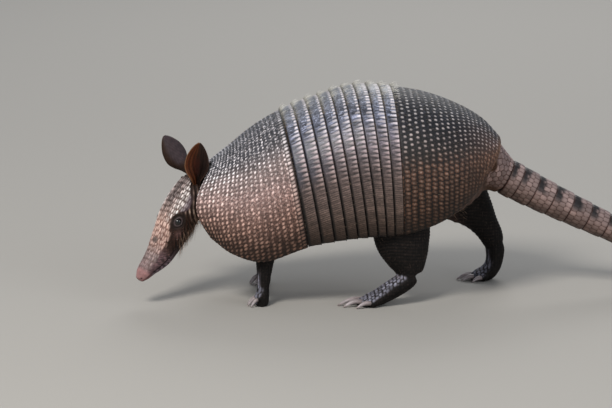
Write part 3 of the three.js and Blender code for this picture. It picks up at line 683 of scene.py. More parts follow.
def band(k):
    """Band k: smooth slate in front, then wedges that widen and brighten to its rear edge.

    Near the back the wedges are round beads, and near the lower edge they are fine threads."""
    start, stop = 1 + k / BAND_COUNT + GAP_U, 1 + (k + 1) / BAND_COUNT + OVERHANG - GAP_U
    surface, (u, arc, low, _, edge) = plate_grid(start, stop, BAND_GRID)
    v = (u - start) / (stop - start)
    count = counted(arc[BAND_GRID[0] // 2], BAND_PITCH)[0]
    count = np.broadcast_to(count + 0.3 * k, v.shape)
    number = np.round(count)
    own = scatter(number, k + 21)
    beads, lines = ramp(0.36, 0.24, low), ramp(0.58, 0.74, low)
    # middle is the glossy zone high on the band's side, where painted highlight streaks lie
    middle = between(0.17, 0.28, 0.44, 0.58, low)
    late = 0.74 if k < 6 else 0.62  # the last bands carry larger square scutes near the back
    every_other = 0.22 * (1 - beads) * (np.mod(number, 2) - 0.5)
    onset = lerp(0.3, late, beads) + every_other + 0.1 * (own - 0.5)
    grown = np.clip((v - onset) / (0.97 - onset), 0, 1)
    half = lerp(lerp(0.06, 0.38, grown**0.8), 0.29, beads)
    away = np.abs(count - number + 0.1 * np.sin(number * 2.3) * (1 - v))
    ridge = ramp(half + 0.14, half - 0.17, away)
    before_rim = ramp(1.0, 0.95, v)
    rise = ramp(onset - 0.06, onset + 0.08, v) * before_rim
    thread = arc / 2.1
    thread_own = scatter(np.round(thread), k + 61)
    threads = ramp(0.46, 0.24, np.abs(thread - np.round(thread))) * ramp(0.15, 0.3, v) * before_rim
    scute = ridge * rise * (1 - 0.85 * lines) + threads * lines * (0.5 + 0.5 * thread_own)
    bright = lerp(lerp(0.25, 1.0, grown**1.1), 0.95, beads)
    bright = lerp(bright, 0.5 + 0.3 * grown, lines)
    streak = scatter(np.round(count * 4 + 0.6 * np.sin(5 * v + number)), k + 51) - 0.5
    fine = ramp(0.5, 0.15, np.abs(count * 2 - np.round(count * 2)))

    # painted highlight: in the middle zone the streaks grow strong, bright and dark
    ground = lit(shades(BAND_GROUND, low), 1 + (0.3 + 0.75 * middle) * streak * ramp(0.1, 0.35, v))
    shadow = 0.4 * ramp(0.3, 0.08, v) * lerp(0.4, 1, ramp(0.35, 0.6, low))
    groove = 0.5 * (1 - ridge) * (1 - 0.6 * lines) * ramp(0.25, 0.45, low) * ramp(onset, 0.9, v)
    for darker in (shadow, groove, 0.45 * (1 - threads) * lines):
        ground = lit(ground, 1 - darker)
    slate = ramp(3.5, 0, k) * between(0.3, 0.4, 0.54, 0.68, low) * ramp(0.8, 0.4, v)
    ground = blend(ground, (52, 56, 70), 0.55 * slate)
    grit = scatter(np.round(arc / 1.2), np.round(v * 11), k + 81) - 0.5
    ground = lit(ground, 1 + lerp(0.24, 0.6, beads) * grit)
    pale = lit(shades(BAND_SCUTE, low), 0.82 + 0.3 * own)
    tint = blend(ground, pale, scute * bright)
    tint = blend(tint, pale * 0.8, 0.4 * ramp(0.93, 0.98, v) * (1 - beads))
    # painted shade: the band's front, tucked under the band before it, turns nearly black
    tint = lit(tint, 1 - 0.92 * ramp(0.12, 0.05, v))
    height = -1.1 + 1.15 * ramp(0, 0.18, v) + 0.45 * ramp(0.25, 0.9, v)
    height = height + 0.3 * scute * lerp(bright, 1, lines)
    height += 0.08 * fine * ramp(0.2, 0.4, v) * ramp(0.3, 0.5, low)
    height += rim_fall((1 - v) * 13, 1.1, 0.7) + rim_fall(edge, 5.0, 2.2)
    gloss = 0.85 - 0.4 * ramp(0.4, 0.7, low) - 0.15 * scute
    depth = lerp(-SHELL_THICKNESS, -0.35, ramp(0.86, 1.0, v))
    return surface, np.maximum(height, -2.2), tint, gloss, depth


def add_plate(node, made, material, stride):
    surface, height, tint, gloss, depth = made
    outer, inner = raised(surface, height), raised(surface, depth)
    plate_piece(f"{node}_plates", outer, inner, tint, gloss, material, node, stride)


add_plate("scapular_shield", shoulder_shield(), SHIELD, stride=14)
add_plate("pelvic_shield", hip_shield(), SHIELD, stride=14)
for band_index in range(BAND_COUNT):
    add_plate(f"band_{band_index + 1}", band(band_index), BAND, stride=13)

# ---- head

head_matrix = np.array(
    (Matrix.Translation(HEAD_BASE) @ Matrix.Rotation(HEAD_YAW, 4, "Z") @ Matrix.Rotation(HEAD_PITCH, 4, "Y"))
)
head_top, head_bottom, head_half_width = (curve_through(HEAD, k) for k in (1, 2, 3))
crown_angle = curve_through(CROWN, 1)


def to_world(points):
    return points @ head_matrix[:3, :3].T + head_matrix[:3, 3]


def to_head(points):
    return (points - head_matrix[:3, 3]) @ head_matrix[:3, :3]


def head_point(along, angle, grow):
    """A point of the head in its own frame, by distance towards the nose and angle from the crown."""
    top, bottom = head_top(along), head_bottom(along)
    height = (top + bottom) / 2 + ((top - bottom) / 2 + grow) * np.cos(angle)
    return np.stack([-along + 0 * angle, (head_half_width(along) + grow) * np.sin(angle), height], -1)


# distance towards the nose, colour of the ground and of the plates
CROWN_SHADE = [
    (-8, 64, 50, 45), (20, 78, 61, 55), (46, 132, 100, 88), (66, 134, 103, 93), (80, 104, 87, 83),
    (103, 112, 88, 87),
]
CROWN_PLATE = [
    (-8, 170, 152, 148), (20, 194, 173, 169), (46, 236, 200, 186), (66, 222, 186, 174),
    (80, 162, 143, 141), (103, 156, 130, 129),
]
# distance towards the nose, and the half width, length and rows so far of the plates there
PLATE_WIDTH = [(0, 2.3), (60, 2.1), (100, 1.8)]
PLATE_LENGTH = [(0, 5.6), (60, 5.2), (100, 4.0)]
PLATE_ROWS = [(-12, 0), (20, 5.8), (60, 13.2), (104, 22.7)]
SPOT = (64.5, -11)  # a dark spot on the snout: how far along, its angle from the top


def head_plates(along, angle):
    """Long plates on crown and snout: how raised, each one's own number."""
    wide, length, row = (table_at(along, table) for table in (PLATE_WIDTH, PLATE_LENGTH, PLATE_ROWS))
    across = angle * head_half_width(along) * 0.92 / wide
    x, y, _, own = quincunx(row, across, length, wide, seed=31, jitter=0.35)
    return ramp(1.3, 0.5, rounded(x, y, length * 0.52, wide * 0.44, 2.3)), own


def plate_tint(along, angle, plate, own):
    """Colour of crown and snout: whitish beside the ears, with a painted highlight there, tan on the snout.
    """
    degrees = np.degrees(angle)
    away = np.abs(degrees)
    # painted highlight: the plates beside the ears whitened
    pale = blend(shades(CROWN_PLATE, along), (246, 235, 231), ramp(12, 32, away) * ramp(50, 36, along))
    pale = lit(pale, lerp(0.68 + 0.54 * own, 0.82 + 0.28 * own, ramp(36, 52, along)))
    tint = blend(shades(CROWN_SHADE, along), pale, plate * 0.9)
    tint = lit(tint, 1 - 0.22 * ramp(20, 6, away) * ramp(44, 30, along))
    tint = blend(tint, (126, 110, 120), 0.55 * ramp(42, 54, away) * ramp(46, 34, along))
    spot = ramp(4.4, 1.4, np.hypot(along - SPOT[0], (degrees - SPOT[1]) * 0.22))
    return blend(tint, (80, 68, 64), 0.8 * spot)


def add_crown():
    v, w = grid_of(np.linspace(0, 1, 150), np.linspace(-1, 1, 91))
    start, stop = CROWN[0][0], CROWN[-1][0]
    along = lerp(start, stop, v) + 1.2 * np.sin(w * 9) * ramp(0.85, 1, v)
    angle = w * np.radians(crown_angle(along))
    plate, own = head_plates(along, angle)
    edge = np.minimum(np.minimum(v, 1 - v) * (stop - start), (1 - np.abs(w)) * 14)
    outer = to_world(head_point(along, angle, 0.3 + 0.42 * plate + rim_fall(edge, 2.5, 0.9)))
    inner = to_world(head_point(along, angle, -1.5))
    tint = plate_tint(along, angle, plate, own)
    # rows run towards the nose, so the grid is turned to face out
    outer, inner, tint, gloss = (grid[::-1] for grid in (outer, inner, tint, 0.35 + 0.5 * plate))
    plate_piece("crown_plates", outer, inner, tint, gloss, CROWN_HORN, "head_shield", stride=15)


add_crown()

# ---- ears

ear_width, ear_cup = curve_through(EAR_OUTLINE, 1), curve_through(EAR_OUTLINE, 2)


def ear_axes(pose):
    """An ear's root, where it points, and where its back looks."""
    root, up, facing = (vector(*v) for v in pose)
    up, back = unit(up), -facing
    return to_world(root), up, unit(back - up * (back @ up))


def add_ear(side):
    origin, up, back = ear_axes(EAR_POSES[side])
    part, across = grid_of(np.linspace(-0.05, 1, 64), np.linspace(-1, 1, 61))
    along = np.maximum(part, 0)
    width = ear_width(along)
    round_across = np.sin(across * np.pi / 2) * 0.25 + across * 0.75
    fold = 0.9 * bump(np.abs(across), 0.45, 0.13) * ramp(0.75, 0.15, part)
    rib = 0.12 * np.sin(across * 11 + 2.5 * part) ** 2 * between(0, 0.2, 0.5, 1, part)
    x = -ear_cup(along) * round_across**2
    points = np.stack([x, EAR_HALF_WIDTH * width * round_across, EAR_LENGTH * part], -1)
    normal = unit(np.cross(np.gradient(points, axis=0), np.gradient(points, axis=1)))
    edge = np.minimum((1 - np.abs(across)) * width * EAR_HALF_WIDTH, (1 - part) * EAR_LENGTH)
    thick = 0.28 + 0.42 * ramp(0, 2.5, edge)
    front, rear = points + lit(normal, thick + fold - rib) * 0.9, points - lit(normal, thick)

    rim, outer_side = ramp(1.3, 0.3, edge), ramp(-0.25, 0.35, across)
    # painted shade: the ear's hollow darkened nearly to black
    hollow = ramp(0.85, 0.15, np.abs(across + 0.15)) * ramp(0.95, 0.3, part)
    red = ramp(0.42, 0.1, np.abs(across - 0.12)) * between(0.12, 0.3, 0.5, 0.72, part)
    streaks = 1 + 0.2 * np.sin(across * 23 + 4 * part + np.sin(part * 9))
    inside = painted(
        lit(blend((36, 24, 19), (68, 33, 15), outer_side), streaks),
        ((18, 8, 5), hollow),
        ((70, 25, 13), 0.45 * red),
        (blend((58, 42, 36), (132, 92, 64), outer_side), rim * 0.85),
    )
    grain = 0.94 + 0.1 * np.sin(part * 37 + 3 * np.sin(across * 7)) * np.sin(across * 19)
    brown = np.maximum(ramp(-0.35, -0.8, across), ramp(0.34, 0.12, part))
    outside = blend(lit((66, 55, 58), grain), (44, 28, 19), np.maximum(brown * 0.85, rim * 0.6))

    over = numbered(*part.shape)
    under = over + part.size
    faces = [quads(over, turned=True), quads(under), rim_quads(over, under)[:, ::-1]]
    points = np.concatenate([rear.reshape(-1, 3), front.reshape(-1, 3)])
    points = points @ np.stack([back, np.cross(up, back), up]) + origin
    mesh = new_mesh(f"ear_{side}", points, faces)
    colour_points(mesh, np.concatenate([outside, inside]), 0.4)
    add_piece(f"ear_{side}_leaf", mesh, EAR_SKIN, [f"ear_{side}"])


for ear_side in EAR_POSES:
    add_ear(ear_side)

# ---- eyes

EYE_SIDES = {"left": -1, "right": 1}
EYE_PLAY, CORNEA = 0.15, 0.35  # how much smaller the ball is than its solid, how far the cornea bulges
# degrees from the middle of the pupil, colour
EYE_STOPS = [
    (0, 6, 5, 6), (24, 8, 7, 7), (30, 26, 18, 14), (52, 16, 11, 9), (60, 34, 26, 25), (180, 50, 38, 36)
]


def eye_axis(side):
    """The middle of an eye and the way it looks, in the head's frame."""
    return vector(-EYE_ALONG, side * EYE_SIDE, EYE_HEIGHT), unit(vector(-0.12, side * 0.88, 0.46))


def add_eye(name, side):
    middle, out = eye_axis(side)
    bm = bmesh.new()
    bmesh.ops.create_icosphere(bm, subdivisions=5, radius=1)
    ball = np.array([v.co for v in bm.verts])
    faces = np.array([[v.index for v in face.verts] for face in bm.faces])
    bm.free()
    facing = np.degrees(np.arccos(np.clip(ball @ out, -1, 1)))
    radius = EYE_RADIUS - EYE_PLAY + CORNEA * ramp(48, 20, facing)
    mesh = new_mesh(name, to_world(lit(ball, radius) + middle), [faces])
    colour_points(mesh, shades(EYE_STOPS, facing), 1.0)
    add_piece(f"{name}_ball", mesh, EYE, [name])


for eye_name, eye_side in EYE_SIDES.items():
    add_eye(f"eye_{eye_name}", eye_side)

# ---- tail


def catmull_rom(points, count=120):
    """Points along the centripetal curve through the given ones."""
    p = np.vstack([2 * points[0] - points[1], points, 2 * points[-1] - points[-2]])
    t = np.linspace(0, 1, count, endpoint=False)[:, None]
    path = []
    for p0, p1, p2, p3 in zip(p, p[1:], p[2:], p[3:]):
        d0, d1, d2 = (math.sqrt(np.linalg.norm(b - a)) for a, b in ((p0, p1), (p1, p2), (p2, p3)))
        m1 = ((p1 - p0) / d0 - (p2 - p0) / (d0 + d1) + (p2 - p1) / d1) * d1
        m2 = ((p2 - p1) / d1 - (p3 - p1) / (d1 + d2) + (p3 - p2) / d2) * d1
        square, cube = 3 * (p2 - p1) - 2 * m1 - m2, 2 * (p1 - p2) + m1 + m2
        path.append(p1 + m1 * t + square * t**2 + cube * t**3)
    return np.vstack([*path, points[-1:]])


tail_path = catmull_rom(np.array([(x, z) for x, z, _ in TAIL], float))
tail_steps = np.concatenate([[0], np.cumsum(np.linalg.norm(np.diff(tail_path, axis=0), axis=1))])
tail_slope = unit(np.gradient(tail_path, tail_steps, axis=0))
tail_thick = curve_through([(x, radius) for x, _, radius in TAIL], 1)
MESH_ROW, MESH_COLUMN = 0.62, 0.7  # size of the tail's mesh along and round it
SCUTE_ROW, SCUTE_PITCH = 6.2, 4.9  # size of its scutes
TIP_ROWS, ROOT_AROUND = 13, 23  # rows of scutes on the tip, scutes round the root
RING_GAP = 0.1  # how far each ring stays short of its place at either end


def tail_radius(s):
    return tail_thick(np.interp(s, tail_steps, tail_path[:, 0]))


def tail_point(s, angle, grow):
    """A point of the tail by distance along it and angle from its upper side."""
    x, z, dx, dz = (np.interp(s, tail_steps, y) for y in (*tail_path.T, *tail_slope.T))
    radius = tail_radius(s) + grow
    up = radius * np.cos(angle)
    return np.stack([x - dz * up, radius * np.sin(angle), z + dx * up], -1)


def with_ends(rings):
    """The points of rings, then the middles of the first and the last one."""
    return np.concatenate([rings.reshape(-1, 3), rings[:1].mean(1), rings[-1:].mean(1)])


UV_END, UV_END_HEIGHT = 0.045, 0.055  # radius of a tube's ends in its UV map, and how high they lie


def tube(rings):
    """Closed tube through rings of equal count: points, faces and their places in the UV map."""
    rows, columns = rings.shape[:2]
    over = numbered(rows, columns)
    wide = np.concatenate([over, over[:, :1]], axis=1)
    i, j = np.indices(wide.shape)
    place = np.stack([UV_START + UV_SPAN * j / columns, 0.12 + 0.86 * i / (rows - 1)], -1)
    faces, uvs = [quads(wide, turned=True)], [quads(place, turned=True)]
    angle = TURN * np.arange(columns + 1) / columns
    for end, row, middle in ((0, 0, 0.06), (1, rows - 1, 0.18)):
        rim = np.stack([middle + UV_END * np.cos(angle), UV_END_HEIGHT + UV_END * np.sin(angle)], -1)
        fan = [np.full(columns, rows * columns + end), wide[row, :-1], wide[row, 1:]]
        fan_uv = [np.full((columns, 2), (middle, UV_END_HEIGHT)), rim[:-1], rim[1:]]
        order = -1 if end else 1
        faces.append(np.stack(fan[::order], -1))
        uvs.append(np.stack(fan_uv[::order], 1))
    return with_ends(rings), faces, uvs


def tail_scutes(row, count, gap, pitch, seed, jitter, soft):
    """How raised the scutes are, how near to their middles, and each one's own number."""
    x, y, between, own = quincunx(row, count, gap, pitch, seed, jitter)
    return ramp(*soft, between), np.exp(-((x / 2.2) ** 2 + (y / 1.9) ** 2)), own


def tail_tint(angle, crown, cell, own):
    around = (1 - np.cos(angle)) / 2
    hide = lit(shades([(0, 138, 118, 115), (0.5, 130, 108, 102), (1, 84, 63, 54)], around), 0.84 + 0.3 * own)
    # painted highlight: the middle of each scute paled towards white
    return blend(blend((62, 42, 38), hide, cell), (164, 148, 145), 0.28 * crown * (0.4 + 0.6 * own))


def tail_piece(name, start, stop, k):
    """A ring of the tail, its rear edge standing proud, or the tail's tip."""
    length, tip = stop - start, k == len(TAIL_RINGS)
    middle_round = TURN * float(tail_radius((start + stop) / 2))
    rows, columns = max(int(length / MESH_ROW), 8), int(middle_round / MESH_COLUMN) + 8
    angles = np.linspace(-np.pi, np.pi, columns, endpoint=False)
    s, angle = grid_of(np.linspace(start, stop, rows), angles)
    v = (s - start) / length
    scute_rows = TIP_ROWS if tip else max(round(length / SCUTE_ROW), 1)
    around = max(round(middle_round / SCUTE_PITCH), 6)
    pitch = TURN * tail_radius(s) / around
    row, count, gap = v * scute_rows - 0.5, angle * around / TURN, length / scute_rows
    cell, crown, own = tail_scutes(row, count, gap, pitch, 40 + k, jitter=0.1, soft=(0.05, 0.85))
    height = 0.26 * cell + 0.14 * crown - 0.2
    tint = tail_tint(angle, crown * cell, cell, own)
    if not tip:
        height += lerp(-0.4, 0.25, ramp(0, 0.8, v))
        height += rim_fall(v * length, 1.6, 0.6) + rim_fall((1 - v) * length, 1.2, 0.6)
        black = ramp(0.0, 0.6, np.cos(angle)) * ramp(0.5, 0.24, v + 0.24 * (own - 0.5))
        tint = blend(tint, (24, 20, 21), 0.92 * black)
        tint = blend(tint, (62, 33, 26), 0.8 * ramp(1.2, 0.4, v * length))
    mesh = new_mesh(name, *tube(grounded(tail_point(s, angle, height))))
    mesh.set_sharp_from_angle(angle=math.radians(60))
    tint = np.concatenate([tint.reshape(-1, 3), [(50, 36, 32)] * 2])
    colour_points(mesh, tint, np.append(0.3 + 0.4 * cell.ravel(), [0, 0]))
    add_piece(f"{name}_scutes", mesh, TAIL_HORN, [name])


def add_tail():
    start = TAIL_ROOT
    for k, length in enumerate(TAIL_RINGS):
        tail_piece(f"tail_ring_{k + 1}", start + RING_GAP, start + length - RING_GAP, k)
        start += length
    tail_piece("tail_tip", start + RING_GAP, tail_steps[-1], len(TAIL_RINGS))


add_tail()

# ---- skin


def loft_faces(rows, columns, first):
    """Faces of a closed loft whose points start at first: rings, then the middles of its two ends."""
    over = numbered(rows, columns, first)
    after = np.roll(over, -1, axis=1)
    ends = []
    for middle, near, far in ((0, after[0], over[0]), (1, over[-1], after[-1])):
        ends.append(np.stack([np.full(columns, first + rows * columns + middle), near, far], -1))
    return ring_quads(over), np.concatenate(ends)


def join_lofts(lofts):
    """Points and faces of closed lofts, each turned to face out."""
    points, sides, ends, first = [], [], [], 0
    for rings in lofts:
        block = with_ends(rings)
        faces = loft_faces(*rings.shape[:2], first)
        (p, q, r), (a, b, c) = ([block[part[:, k] - first] for k in range(3)] for part in faces)
        volume = (a * np.cross(b, c)).sum() + 2 * (p * np.cross(q, r)).sum()
        order = -1 if volume < 0 else 1
        points.append(block)
        sides.append(faces[0][:, ::order])
        ends.append(faces[1][:, ::order])
        first += len(block)
    return np.concatenate(points), [np.concatenate(sides), np.concatenate(ends)]


BODY_COLUMNS, BELLY_COLUMNS = 121, 39
RING_COLUMNS = BODY_COLUMNS + BELLY_COLUMNS
# rings round the tail's root and the head start low on the left side, as those of the body do
RING_ANGLES = -0.75 * np.pi + TURN * np.arange(RING_COLUMNS) / RING_COLUMNS
SKIN_INSET = SHELL_THICKNESS + 1.2


def body_rings(us, distance):
    """Closed rings inside the shell, carried across the belly."""
    us = np.asarray(us, float)
    rows = raised(shell_grid(us, BODY_COLUMNS)[0], distance)
    t = (np.arange(BELLY_COLUMNS) + 1) / (BELLY_COLUMNS + 1)
    belly = lerp(rows[:, -1:, :], rows[:, :1, :], t[None, :, None])
    belly[..., 2] -= belly_drop(us)[:, None] * np.sin(np.pi * t)[None] ** 0.7
    return np.concatenate([rows, belly], axis=1)


def limb_rings(rows, count=40, sides=48, grow=0.0, round_end=0.0):
    """Rings through rows of x, y, z, half width, half depth, its last part rounded off."""
    table = np.column_stack([np.arange(len(rows)), np.array(rows, float)])
    t = np.linspace(0, len(rows) - 1, count)
    x, y, z, width, depth = (curve_through(table, k)(t) for k in range(1, 6))
    centre, width, depth = np.stack([x, y, z], -1), width + grow, depth + grow
    if round_end:
        close = np.sqrt(1.0001 - np.clip((t / (len(rows) - 1) - 1 + round_end) / round_end, 0, 1) ** 2)
        width, depth = width * close, depth * close  # the last ring stays a little open
    direction = unit(np.gradient(centre, axis=0))
    across = unit(vector(0, 1, 0) - direction * direction[:, 1:2])
    deep = np.cross(direction, across)
    angle = TURN * np.arange(sides) / sides
    wide, far = width[:, None] * np.cos(angle), depth[:, None] * np.sin(angle)
    return centre[:, None] + lit(across[:, None], wide) + lit(deep[:, None], far)


def toes_of(name):
    """Root, tip and claw tip of each toe of a foot, from its inner side out."""
    mirror = name == "fore_right"
    root, tip, claw, spread, reach, lengths = TOES["fore_left" if mirror else name]
    made = []
    for k, length in enumerate(lengths):
        part = 2 * k / (len(lengths) - 1) - 1
        back = (1 - length) * reach
        parts = zip((root, tip, claw), spread, (0.4, 1, 1.3))
        toe = [vector(x + back * share, y + part * width, z) for (x, y, z), width, share in parts]
        made.append([p * (1, -1, 1) + (FAR_FORE_SHIFT, 0, 0) if mirror else p for p in toe])
    return made


def mirrored(rows):
    return [(x + FAR_FORE_SHIFT, -y, z, *sizes) for x, y, z, *sizes in rows]


# rows of the leg and of the foot, radius of the toes
LIMBS = {
    "fore_left": (FORE_LEG, FORE_FOOT, FORE_TOE_RADIUS),
    "fore_right": (mirrored(FORE_LEG), mirrored(FORE_FOOT), FORE_TOE_RADIUS),
    "hind_left": (NEAR_HIND_LEG, NEAR_HIND_FOOT, HIND_TOE_RADIUS),
    "hind_right": (FAR_HIND_LEG, FAR_HIND_FOOT, HIND_TOE_RADIUS),
}


def thick_rows(places, radii):
    """Rows for limb_rings() of a round limb through the places."""
    return [(*place, radius, radius) for place, radius in zip(places, radii)]


def skin_lofts():
    """Closed forms of the flesh: head, trunk, neck, legs, feet and toes."""
    head_along = np.linspace(HEAD[0][0], HEAD[-1][0], 150)
    angles = TURN * np.arange(96) / 96
    head = head_point(*grid_of(head_along, angles), -0.2)
    tip, height = NOSE_TIP
    nose = []
    for t in (0.35, 0.65, 0.85, 0.97):
        ring = head[-1] * (1, 1 - 0.6 * t * t, 1)
        ring[:, 2] = lerp(ring[:, 2], height, 0.6 * t * t)
        ring[:, 0] = -lerp(HEAD[-1][0], tip, math.sin(t * math.pi / 2))
        nose.append(ring)
    yield to_world(np.concatenate([head, nose]))

    root = [tail_point(s, RING_ANGLES, grow) for s, grow in ((1, 1.5), (3.5, 0.4), (7.6, -0.7))]
    yield np.concatenate([body_rings(np.linspace(0.02, 3, 90), -SKIN_INSET), root])

    neck = body_rings([0.33, 0.16, 0.02], -SKIN_INSET - 0.8)
    inside_head = ((-5.0, 1.4), (2.0, -1.2), (8.0, -3.5))
    collar = [to_world(head_point(along, RING_ANGLES, grow)) for along, grow in inside_head]
    front = [lerp(neck[-1], collar[0], t) for t in (0.25, 0.5, 0.75)]
    yield np.concatenate([neck, front, collar])

    for name, (leg, foot, radius) in LIMBS.items():
        yield limb_rings(leg, grow=-0.2)
        yield limb_rings(foot, grow=-0.2)
        for root, tip, _ in toes_of(name):
            knuckle = lerp(root, tip, 0.6) - (0, 0, 0.4)
            rows = thick_rows((root, knuckle, tip), (radius * 0.95, radius, radius * 0.78))
            yield limb_rings(rows, count=24, sides=24, grow=-0.1, round_end=0.3)


VOXEL = 1.0 * MM


def remeshed(mesh):
    """The outside of the mesh's forms as one closed surface of small faces."""
    carrier = add_object("carrier", mesh)
    modifier = carrier.modifiers.new("remesh", "REMESH")
    modifier.mode, modifier.voxel_size = "VOXEL", VOXEL
    made = bpy.data.meshes.new_from_object(carrier.evaluated_get(bpy.context.evaluated_depsgraph_get()))
    bpy.data.objects.remove(carrier)
    return made


def relax(mesh, points, weight, times):
    """Each point moves towards the mean of its neighbours, by weight."""
    edges = np.empty(len(mesh.edges) * 2, int)
    mesh.edges.foreach_get("vertices", edges)
    a, b = edges.reshape(-1, 2).T
    size = len(points)
    count = np.bincount(a, minlength=size) + np.bincount(b, minlength=size)
    for _ in range(times):
        total = np.stack([np.bincount(a, p[b], size) + np.bincount(b, p[a], size) for p in points.T], -1)
        points = points + (total / count[:, None] - points) * 0.5 * weight[:, None]
    return points


def head_place(points):
    """Distance towards the nose, angle from the crown, and how far out: 1 on the head's surface."""
    own = to_head(points)
    along = -own[:, 0]
    top, bottom = head_top(along), head_bottom(along)
    across, up = own[:, 1] / head_half_width(along), (own[:, 2] - (top + bottom) / 2) / ((top - bottom) / 2)
    return along, np.arctan2(across, up), np.hypot(across, up)


def on_head(points):
    along, _, out = head_place(points)
    return ramp(1.6, 1.25, out) * between(-12, 0, 106, 112, along)


def limb_cover(points, rows):
    """1 on and in a limb, 0 away from it; its rows must go down."""
    table = np.array(rows, float)[::-1]
    z = points[:, 2]
    x, y, width, depth = (np.interp(z, table[:, 2], table[:, k]) for k in (0, 1, 3, 4))
    out = np.hypot((points[:, 0] - x) / depth, (points[:, 1] - y) / width)
    return ramp(2.1, 1.15, out) * ramp(table[-1, 2] + 4, table[-1, 2] - 12, z)


def tail_place(points):
    """Distance along the tail's straight start, angle from its upper side, distance from its middle."""
    forward = vector(tail_slope[0, 0], 0, tail_slope[0, 1])
    above = vector(-forward[2], 0, forward[0])
    offset = points - (TAIL[0][0], 0, TAIL[0][1])
    up, across = offset @ above, offset[:, 1]
    return offset @ forward, np.arctan2(across, up), np.hypot(across, up)


def on_tail_root(points):
    s, angle, _ = tail_place(points)
    return ramp(-34, -30, s) * ramp(482, 486, points[:, 0]) * ramp(2.5, 2.1, np.abs(angle))


def base_skin():
    """The lofts as one body, finer on the head and at the tail's root."""
    mesh = remeshed(new_mesh("lofts", *join_lofts(skin_lofts())))
    place = positions(mesh)
    cover = np.maximum(on_head(place), on_tail_root(place)) > 0.5
    bm = bmesh.new()
    bm.from_mesh(mesh)
    edges = [e for e in bm.edges if cover[e.verts[0].index] and cover[e.verts[1].index]]
    bmesh.ops.subdivide_edges(bm, edges=edges, cuts=1, use_grid_fill=True)
    bm.to_mesh(mesh)
    bm.free()
    return mesh


def cells(points, chosen, spacing):
    """Irregular scutes over the chosen points: how raised each is, and its scute's own number."""
    cube = np.floor(points[chosen] / spacing)
    off_centre = np.linalg.norm(points[chosen] / spacing - cube - 0.5, axis=1)
    order = np.argsort(off_centre, kind="stable")
    first = np.unique(cube[order], axis=0, return_index=True)[1]
    tree = nearest(points[chosen[order[first]]])
    raise_, own = np.zeros(len(points)), np.zeros(len(points))
    for index in chosen:
        (_, k, near), (_, _, second) = tree.find_n(points[index], 2)
        raise_[index], own[index] = second - near, k
    return ramp(0.1, 0.45 * spacing, raise_), scatter(own, 7)


def carve_eyes(points):
    """Opens the skin over the eyeballs and raises lids; also how dark it is there, where the lids are."""
    dark, lid = np.zeros(len(points)), np.zeros(len(points))
    for side in EYE_SIDES.values():
        middle, out = eye_axis(side)
        forward = unit(vector(-1, 0, 0) + out * out[0])
        offset = to_head(points) - middle
        axial, x, y = offset @ out, offset @ forward, offset @ (np.cross(forward, out) * side)
        flat, rho = np.hypot(x, y), np.hypot(x / 3.5, y / 2.7)  # rho is 1 at the lids' edge
        near = (axial > 0) & (rho < 4)
        ball = np.sqrt(np.maximum(EYE_RADIUS**2 - flat**2, 0.3))
        lids = 0.7 * bump(rho, 1.2, 0.24) - 0.55 * bump(rho, 1.8, 0.32)
        lids += 0.18 * bump(rho, 2.4, 0.3)
        target = lerp(axial + lids, ball - 1.2, ramp(1.1, 0.9, rho))
        points = points + lit(head_matrix[:3, :3] @ out, np.where(near, target - axial, 0))
        dark = np.maximum(dark, near * ramp(3.1, 1.7, rho))
        lid = np.maximum(lid, near * bump(rho, 1.25, 0.3))
    return points, dark, lid


def clear_ears(points):
    """Presses the skin down out of the ears' hollows."""
    for pose in EAR_POSES.values():
        origin, up, back = ear_axes(pose)
        offset = points - origin
        height, depth, across = offset @ up, offset @ back, offset @ np.cross(up, back)
        inside = ramp(9.5, 7, np.abs(across)) * between(-13, -9, 0.2, 1.2, depth)
        points = points - lit(up, np.clip(height + 0.5, 0, 14) * inside * (height < 16))
    return points


def neck_streak(points):
    """Upright folds of the skin between the head and the shoulder shield."""
    x, _, z = points.T
    return wave(x + 0.1 * z + 1.1 * np.sin(z / 6.5), 4.2)


def neck_tint(points):
    """Dark skin with pale folds, brightest at the height of the eye, none at the ears."""
    z = points[:, 2]
    fold = ramp(-0.1, 0.8, neck_streak(points)) * ramp(122, 108, z)
    pale = blend((128, 105, 96), (184, 159, 143), ramp(104, 92, z))
    return blend((36, 24, 19), pale, fold * (0.75 + 0.25 * np.sin(z * 0.7)))


# distance towards the nose, degrees from the crown down to which the snout has plates
PLATE_REACH = [(16, 30), (30, 31), (45, 42), (53, 54), (64, 63), (80, 60), (98, 72)]
MOUTH = 107  # degrees from the crown
NOSTRIL = (-103.6, 3.3, 0.8)


